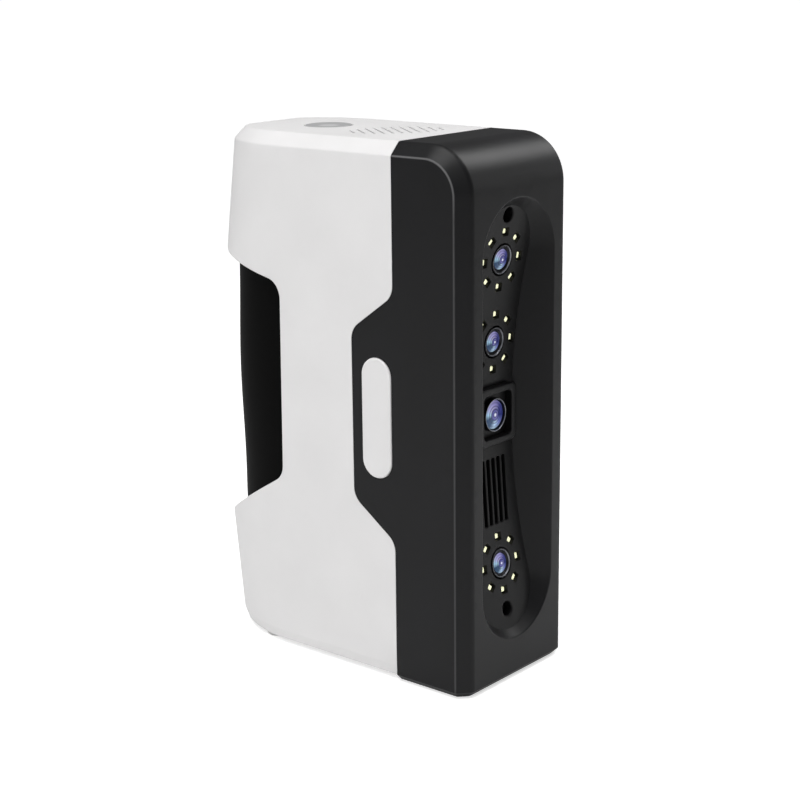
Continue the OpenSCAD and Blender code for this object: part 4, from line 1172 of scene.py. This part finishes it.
GLASS = 4.75
GLASS_SEAT = 2.2
GLASS_GAP = 0.05
LENS_EDGE, LENS_APEX = 0.8, -0.3
THREAD_RADIUS, THREAD_START, THREAD_END = 5.9, 4.4, 17.0
LENS_BORE = 3.2
# From the glass's seat over the cone, the inner rim, a groove and the outer rim, then back along the thread
barrel = [
    (GLASS + GLASS_GAP, GLASS_SEAT), (GLASS + GLASS_GAP, 1.0), (5.35, 0.35), (5.45, 0.25), (5.65, 0.25),
    (5.75, 0.4), (5.85, 0.5), (6.0, 0.0), (6.15, -0.2), (6.45, -0.2), (LENS_RADIUS, 0.0),
    (LENS_RADIUS, THREAD_START), (THREAD_RADIUS, THREAD_START), (THREAD_RADIUS, THREAD_END),
    (LENS_BORE, THREAD_END), (LENS_BORE, GLASS_SEAT)]
barrel.append(barrel[0])
for name, angle in CAMERAS.items():
    spot = on_panel(angle)
    tube = piece(f"lens_barrel_{name}_turned", lathe(barrel, spot), "scanner", [f"lens_barrel_{name}"],
                 lens_alloy)
    lens_places(tube, spot, LENS_RADIUS)
    dome = glass_profile(GLASS, LENS_EDGE, LENS_APEX, GLASS_SEAT)
    glass = piece(f"lens_glass_{name}_dome", lathe(dome, spot), "scanner", [f"lens_glass_{name}"],
                  painted_reflection_glass)
    lens_places(glass, spot, GLASS)

# %% [markdown]
# ## Lamps
# Eight lamp packages stand in a ring round each lens, a millimetre below the panel's face. Each is a small
# block with a rounded top, and the eight of a ring are one piece, as they are on their board.

# %% Lamp rings
LAMP_WIDE, LAMP_LONG, LAMP_HIGH = 2.6, 2.0, 1.6
LAMP_EDGE, LAMP_ROUND = 0.35, 0.4
BOARD_GAP = 0.05
lamp_base = PANEL_THICK + BOARD_GAP
lamp_profile = [(out, depth + lamp_base - LAMP_HIGH) for out, depth in edge_round(LAMP_EDGE, 4)]
lamp_profile.append((0, lamp_base))
for name, angle in CAMERAS.items():
    outlines = [box_outline(x, up, LAMP_WIDE, LAMP_LONG, LAMP_ROUND, turn) for x, up, turn in lamp_places]
    blocks = [prism(outline, lamp_profile, on_panel(angle)) for outline in outlines]
    piece(f"lamps_{name}_ring", joined(*blocks), "scanner", [f"lamps_{name}"], lamp_resin)

# %% [markdown]
# ## Projector
# Between the cameras sits the projector: a square bezel with rounded corners, and the projection lens in
# it. The bezel is one more skin with a hole, on the flat plane that touches the panel there. A plate in its
# throat goes from the square opening to the round barrel: two outlines with the same number of points.

# %% Projector bezel, barrel and glass
BEZEL_PROUD = 3.4
BEZEL_WIDE, BEZEL_OPEN = 26.0, 20.0
BEZEL_DEEP = 9.4
BEZEL_FLANGE = 3.2
BEZEL_ROUND, OPENING_ROUND = 3.2, 2.4
BEZEL_EDGE, OPENING_EDGE = 0.7, 0.5
BEZEL_FOOT, BEZEL_LAP = 1.8, 1.9
PROJECTOR_RADIUS = 7.6
PROJECTOR_GLASS = 6.8
PROJECTOR_EDGE, PROJECTOR_APEX, PROJECTOR_SEAT = -0.8, -1.7, 1.6
PROJECTOR_END, PROJECTOR_BORE = 16.0, 4.5
projector_spot = on_panel(PROJECTOR)


def bezel_face(u, v):
    """Flat face in front of the panel."""
    shape = np.shape(u)
    flat = np.stack([np.ravel(u), np.ravel(v)], 1)
    return projector_spot(flat, -BEZEL_PROUD).reshape(*shape, 3)


bezel_outer = [(-BEZEL_LAP, 0)] + edge_round(BEZEL_EDGE) + [
    (0, BEZEL_FLANGE), (-BEZEL_FOOT, BEZEL_FLANGE), (-BEZEL_FOOT, BEZEL_DEEP), (-BEZEL_LAP, BEZEL_DEEP)]
bezel_hole = box_outline(0, 0, BEZEL_OPEN, BEZEL_OPEN, OPENING_ROUND)
bezel_rim = box_outline(0, 0, BEZEL_WIDE, BEZEL_WIDE, BEZEL_ROUND)
bezel_inner = cut_edge(OPENING_EDGE, BEZEL_DEEP, 5)
bezel = skin(bezel_face, bezel_rim, [(bezel_hole, bezel_inner)], wall=BEZEL_DEEP, border_profile=bezel_outer)
THROAT_DEPTH = 0.2
THROAT_THICK = 1.0
THROAT_GAP = 0.1
square = box_outline(0, 0, BEZEL_OPEN - THROAT_GAP, BEZEL_OPEN - THROAT_GAP, OPENING_ROUND)
circle = unit(square) * (PROJECTOR_RADIUS + THROAT_GAP)
throat_rings = [(square, 0), (circle, 0), (circle, THROAT_THICK), (square, THROAT_THICK), (square, 0)]
throat_points = [projector_spot(loop, THROAT_DEPTH + deep) for loop, deep in throat_rings]
throat = grid(np.stack(throat_points), closed=True)
piece("projector_bezel_frame", joined(shell(bezel), throat), "scanner", ["projector_bezel"], black_abs)
glass_side = PROJECTOR_GLASS + GLASS_GAP
tube_profile = [
    (glass_side, PROJECTOR_SEAT), (glass_side, PROJECTOR_EDGE), (6.95, -1.9), (7.1, -2.1), (7.35, -2.1),
    (7.5, -1.9), (PROJECTOR_RADIUS, -1.6), (PROJECTOR_RADIUS, PROJECTOR_END), (PROJECTOR_BORE, PROJECTOR_END),
    (PROJECTOR_BORE, PROJECTOR_SEAT)]
tube_profile.append(tube_profile[0])
tube = piece("projector_barrel_turned", lathe(tube_profile, projector_spot), "scanner", ["projector_barrel"],
             projector_alloy)
lens_places(tube, projector_spot, PROJECTOR_RADIUS)
dome = glass_profile(PROJECTOR_GLASS, PROJECTOR_EDGE, PROJECTOR_APEX, PROJECTOR_SEAT)
glass = piece("projector_glass_dome", lathe(dome, projector_spot), "scanner", ["projector_glass"],
              painted_reflection_glass)
lens_places(glass, projector_spot, PROJECTOR_GLASS)

# %% [markdown]
# ## Panel screws
# The panel screws have a round head with a hexagon socket: rings that change from a circle to a hexagon.
# They and the next pieces are lathe work with small rounds, about the panel's own axes or upright and level
# ones.

# %% Axes and panel screws
def upright(x, y):
    """Flat offsets and a height to space, about an upright axis."""
    return lambda flat, level: np.stack([x + flat[:, 0], y + flat[:, 1], level + 0 * flat[:, 0]], 1)


def level_axis(z):
    """Flat offsets and a depth along y to space, about a level axis."""
    return lambda flat, depth: np.stack([flat[:, 0], depth + 0 * flat[:, 0], z + flat[:, 1]], 1)


def socket_screw(to_space, seat, head, high, shank, reach):
    """Rings of (radius, share of hexagon, depth): the head's dome, the hexagon socket and the shank."""
    top = seat - high
    rings = np.array([
        (0, 1, seat - 0.5), (1.15, 1, seat - 0.5), (1.25, 1, top + 0.08), (1.4, 1, top),
        (head - 0.7, 0, top + 0.02), (head - 0.15, 0, top + 0.3), (head, 0, top + 0.7), (head, 0, seat),
        (shank, 0, seat), (shank, 0, seat + reach), (0, 0, seat + reach)])
    angle = np.linspace(0, 2 * np.pi, 48, endpoint=False)
    hexagon = 1 / np.cos((angle + np.pi / 6) % (np.pi / 3) - np.pi / 6)
    radius = rings[:, :1] * (1 + rings[:, 1:2] * (hexagon - 1))
    flat = radius[..., None] * np.stack([np.sin(angle), np.cos(angle)], 1)
    return grid(np.stack([to_space(ring, depth) for ring, depth in zip(flat, rings[:, 2])]), closed=True)


HEAD_RADIUS, HEAD_HIGH = 2.75, 1.9
SHANK_RADIUS, SHANK_LONG = 1.5, 11.5
screws = [socket_screw(on_panel(angle), SCREW_SEAT, HEAD_RADIUS, HEAD_HIGH, SHANK_RADIUS, SHANK_LONG)
          for angle in SCREW_ANGLES]
piece("panel_screws_socket_head", joined(*screws), "scanner", ["panel_screws"], dark_steel)

# %% [markdown]
# ## Button
# The button's face is dished, with a raised, rounded rim level with the top. A wider collar under the skin
# holds it in, and a stem goes down to the switch. The middle is rubbed pale by the finger, which its points
# store.

# %% Button
FINGER_SPOT, FINGER_REACH = 3.4, 5.4
COLLAR_RADIUS, COLLAR_THICK, COLLAR_GAP = 12.6, 2.45, 0.05
STEM_RADIUS, STEM_LONG = 3.0, 11.0
collar_top = -WALL - COLLAR_GAP
collar_end = collar_top - COLLAR_THICK
# Radius, and height above the top of the shell
cap_face = [(0, -0.25), (FINGER_SPOT, -0.24), (FINGER_REACH, -0.19), (8.4, -0.02), (9.4, 0.16), (9.9, 0.2),
            (10.35, 0.12), (10.62, -0.1), (BUTTON_RADIUS, -0.4)]
cap_below = [(BUTTON_RADIUS, collar_top), (COLLAR_RADIUS, collar_top), (COLLAR_RADIUS, collar_end),
             (STEM_RADIUS, collar_end), (STEM_RADIUS, -STEM_LONG), (0, -STEM_LONG)]
cap = [(radius, HEIGHT + rise) for radius, rise in cap_face + cap_below]
button = piece("button_cap_dished", lathe(cap, upright(0, BUTTON_PLACE), 128), "button", ["button_cap"],
               grey_abs)
x, y = (spots(button.data) / MM - [0, FACE + BUTTON_PLACE, 0]).T[:2]
store(button.data, "sheen_and_wear", np.interp(np.hypot(x, y), [FINGER_SPOT, FINGER_REACH], [1, 0]))

# %% [markdown]
# ## Feet and cable socket
# A foot is a low rubber dome that sits in its seat in the underside. The socket is a turned sleeve with a
# flange that rests in its well in the back, and a deep bore for the plug.

# %% Feet and socket
FOOT_TOP = 3.3
foot_dome = [(0, 0), (5.0, 0), (5.6, 0.18), (5.9, 0.5), (FOOT_RADIUS, 0.9), (FOOT_RADIUS, FOOT_TOP),
             (0, FOOT_TOP)]
feet = [lathe(foot_dome, upright(side * FOOT_SIDE, FOOT_PLACE)) for side in (-1, 1)]
piece("rear_feet_domed", joined(*feet), "scanner", ["rear_feet"], foot_rubber)
SLEEVE_RADIUS, SLEEVE_LONG = 6.0, 11.0
FLANGE_RADIUS, FLANGE_THICK = 8.5, 2.0
PLUG_BORE, PLUG_DEEP = 4.6, 9.0
# Radius, and distance behind the seat
sleeve = [(0, -SLEEVE_LONG), (5.8, -SLEEVE_LONG), (SLEEVE_RADIUS, -10.8), (SLEEVE_RADIUS, 0), (8.3, 0)]
flange = [(FLANGE_RADIUS, 0.2), (FLANGE_RADIUS, 1.4), (8.1, 1.9), (7.6, FLANGE_THICK), (5.1, FLANGE_THICK)]
bore = [(4.75, 1.8), (PLUG_BORE, 1.5), (PLUG_BORE, -PLUG_DEEP), (0, -PLUG_DEEP)]
socket = [(radius, SOCKET_SEAT + back) for radius, back in sleeve + flange + bore]
piece("cable_socket_turned", lathe(socket, level_axis(SOCKET_HEIGHT)), "scanner", ["cable_socket"],
      plated_steel)

# %% [markdown]
# ## Finishes of the solids that stay
# Boards, chassis, fan, spring and screws keep their own solids. They are seen, if at all, through vents and
# slots. Each takes the finish of its material slot in the record. The lamp boards get black resist, as the
# pockets show.

# %% Finish every remaining solid
slot_finish = {
    "black_plastic": black_abs, "white_plastic": white_abs, "grey_plastic": grey_abs,
    "panel_plastic": panel_abs, "lamp_plastic": lamp_resin,
    "grip_rubber": grip_rubber, "foot_rubber": foot_rubber,
    "screw_steel": dark_steel, "spring_steel": spring_steel, "socket_steel": plated_steel,
    "black_alloy": black_alloy, "bare_alloy": bare_alloy, "insert_brass": turned_brass,
    "coated_glass": painted_reflection_glass, "circuit_board": green_board}
node_slot = {part["node"]: part["material_slot"] for part in frame["record"]["subparts"]}
for name, solid in frame["nodes"].items():
    finish = black_board if name.startswith("lamp_board") else slot_finish[node_slot[name]]
    solid.data.materials.clear()
    solid.data.materials.append(finish)
print("finished", len(frame["nodes"]), "solids")

# %% [markdown]
# ## Studio
# A white paper floor runs to the horizon. Floor and surroundings are white to the eye and a little lighter
# in metal and glass than the light they give, so they light the scanner only as a grey room does.

# %% Floor and surroundings
def shown_level(tree, to_eye, to_mirror):
    """How much white shows: one level to the camera, another in metal and glass, none to anything else."""
    path = add(tree, "ShaderNodeLightPath").outputs
    mirrored = add(tree, "ShaderNodeMath", {0: path["Is Glossy Ray"], 1: path["Is Transmission Ray"]},
                   operation="MAXIMUM")
    eye = add(tree, "ShaderNodeMath", {0: path["Is Camera Ray"], 1: to_eye}, operation="MULTIPLY")
    level = add(tree, "ShaderNodeMath", {0: mirrored.outputs[0], 1: to_mirror, 2: eye.outputs[0]},
                operation="MULTIPLY_ADD")
    return level.outputs[0]


world = bpy.data.worlds.new("grey_studio")
bpy.context.scene.world = world
world.use_nodes = True
tree = world.node_tree
tree.nodes.clear()
grey = add(tree, "ShaderNodeBackground", {"Color": tone("#666666"), "Strength": 1.0})
white = add(tree, "ShaderNodeBackground", {"Color": tone("#ffffff"), "Strength": 1.0})
SKY_IN_MIRRORS, FLOOR_IN_MIRRORS = 0.03, 0.2
sky = add(tree, "ShaderNodeMixShader", {
    0: shown_level(tree, 1.0, SKY_IN_MIRRORS), 1: grey.outputs["Background"], 2: white.outputs["Background"]})
add(tree, "ShaderNodeOutputWorld", {"Surface": sky.outputs["Shader"]})

paper, tree = blank("white_paper_floor")
matt = add(tree, "ShaderNodeBsdfDiffuse", {"Color": tone("#ececec")})
where = add(tree, "ShaderNodeTexCoord").outputs["Object"]
away = add(tree, "ShaderNodeVectorMath", {0: where}, operation="LENGTH")
lift = add(tree, "ShaderNodeMapRange", {
    "Value": away.outputs["Value"], "From Min": 0.5, "From Max": 2.5, "To Min": 0.6, "To Max": 0.9})
glow = add(tree, "ShaderNodeEmission", {
    "Color": tone("#ffffff"), "Strength": shown_level(tree, lift.outputs["Result"], FLOOR_IN_MIRRORS)})
both = add(tree, "ShaderNodeAddShader", {0: matt.outputs["BSDF"], 1: glow.outputs["Emission"]})
add(tree, "ShaderNodeOutputMaterial", {"Surface": both.outputs["Shader"]})
FLOOR_REACH = 40
floor_mesh = bpy.data.meshes.new("studio_floor")
floor_corners = [(FLOOR_REACH * x, FLOOR_REACH * y, 0) for x, y in ((-1, -1), (1, -1), (1, 1), (-1, 1))]
floor_mesh.from_pydata(floor_corners, [], [(0, 1, 2, 3)])
floor_mesh.materials.append(paper)
floor = bpy.data.objects.new("studio_floor", floor_mesh)
bpy.context.scene.collection.objects.link(floor)
print("floor and surroundings ready")

# %% [markdown]
# ## Studio lamps
# Two softboxes from above and the upper left light the top and the white side, and a weak one and a low
# strip fill the front left. On the right, one softbox draws the sheen on the brow and a low one carries it
# on down. The sensor face mirrors the floor, so a small gridded lamp looks straight down at the floor in
# front of it.

# %% Studio lamps
SCANNER_MIDDLE = (0, 0, MIDDLE * MM)


def direction(azimuth, elevation):
    """From the scanner outward, of length one; azimuth 0 is before the sensor face."""
    turn, rise = math.radians(azimuth), math.radians(elevation)
    return math.sin(turn) * math.cos(rise), -math.cos(turn) * math.cos(rise), math.sin(rise)


def soft_lamp(name, azimuth, elevation, distance, width, height, power, aim=SCANNER_MIDDLE, beam=180):
    """Lamp that looks at a place from a direction; beam is the angle of its spread."""
    lamp = bpy.data.lights.new(name, "AREA")
    lamp.shape = "RECTANGLE"
    lamp.size, lamp.size_y = width, height
    lamp.energy = power
    lamp.spread = math.radians(beam)
    thing = bpy.data.objects.new(name, lamp)
    back = Vector(direction(azimuth, elevation))
    thing.location = Vector(aim) + back * distance
    thing.rotation_euler = back.to_track_quat("Z", "Y").to_euler()
    bpy.context.scene.collection.objects.link(thing)
    print(f"{name}: {power} W from azimuth {azimuth}, elevation {elevation}")


# Name, azimuth and elevation in degrees, distance, width and height in metres, power in watts
soft_lamp("overhead_softbox", -100, 76, 1.5, 1.0, 1.0, 15.5)
soft_lamp("upper_left_softbox", -100, 48, 1.6, 1.0, 1.0, 5)
soft_lamp("front_left_softbox", -60, 30, 1.6, 0.8, 0.8, 2)
soft_lamp("low_left_strip", -86, 4, 1.4, 0.25, 0.5, 3)
soft_lamp("right_softbox", 77, 41, 1.5, 0.55, 0.68, 6.6)
soft_lamp("low_right_softbox", 60, 14, 1.5, 0.9, 0.5, 1.7)
soft_lamp("floor_lamp", 0, 90, 0.6, 0.25, 0.25, 0.35, aim=(0.2, -0.27, 0), beam=70)

# %% [markdown]
# ## Camera
# The camera's place was worked out from the photographed edges: direction, distance, a slight roll and a
# lens of about 80 mm on a full frame. The picture is square, so the sensor's width is the picture's width.

# %% Camera
AZIMUTH, ELEVATION, ROLL = -50.06, 14.6, -0.66
LOOK_AT = 70
DISTANCE = 815.67
SHIFT_RIGHT, SHIFT_UP = 2.47, -2.9
FOCAL_PIXELS, PICTURE = 1784.75, 800
turn, roll = math.radians(AZIMUTH), math.radians(ROLL)
right = np.array([math.cos(turn), math.sin(turn), 0])
back = np.array(direction(AZIMUTH, ELEVATION))
up = np.cross(back, right)
right, up = right * math.cos(roll) + up * math.sin(roll), up * math.cos(roll) - right * math.sin(roll)
aim = np.array([0, LOOK_AT, MIDDLE])
eye = place(aim + right * SHIFT_RIGHT + up * SHIFT_UP + back * DISTANCE)
lens = bpy.data.cameras.new("portrait_camera")
lens.sensor_width = 36
lens.lens = lens.sensor_width * FOCAL_PIXELS / PICTURE
camera = bpy.data.objects.new("portrait_camera", lens)
axes = np.stack([right, up, back, eye], 1)
camera.matrix_world = Matrix([*axes.tolist(), (0, 0, 0, 1)])
bpy.context.scene.collection.objects.link(camera)
bpy.context.scene.camera = camera
bpy.context.scene.view_settings.view_transform = "Standard"
print("camera at", [round(float(v), 3) for v in eye], "lens", round(lens.lens, 1), "mm")
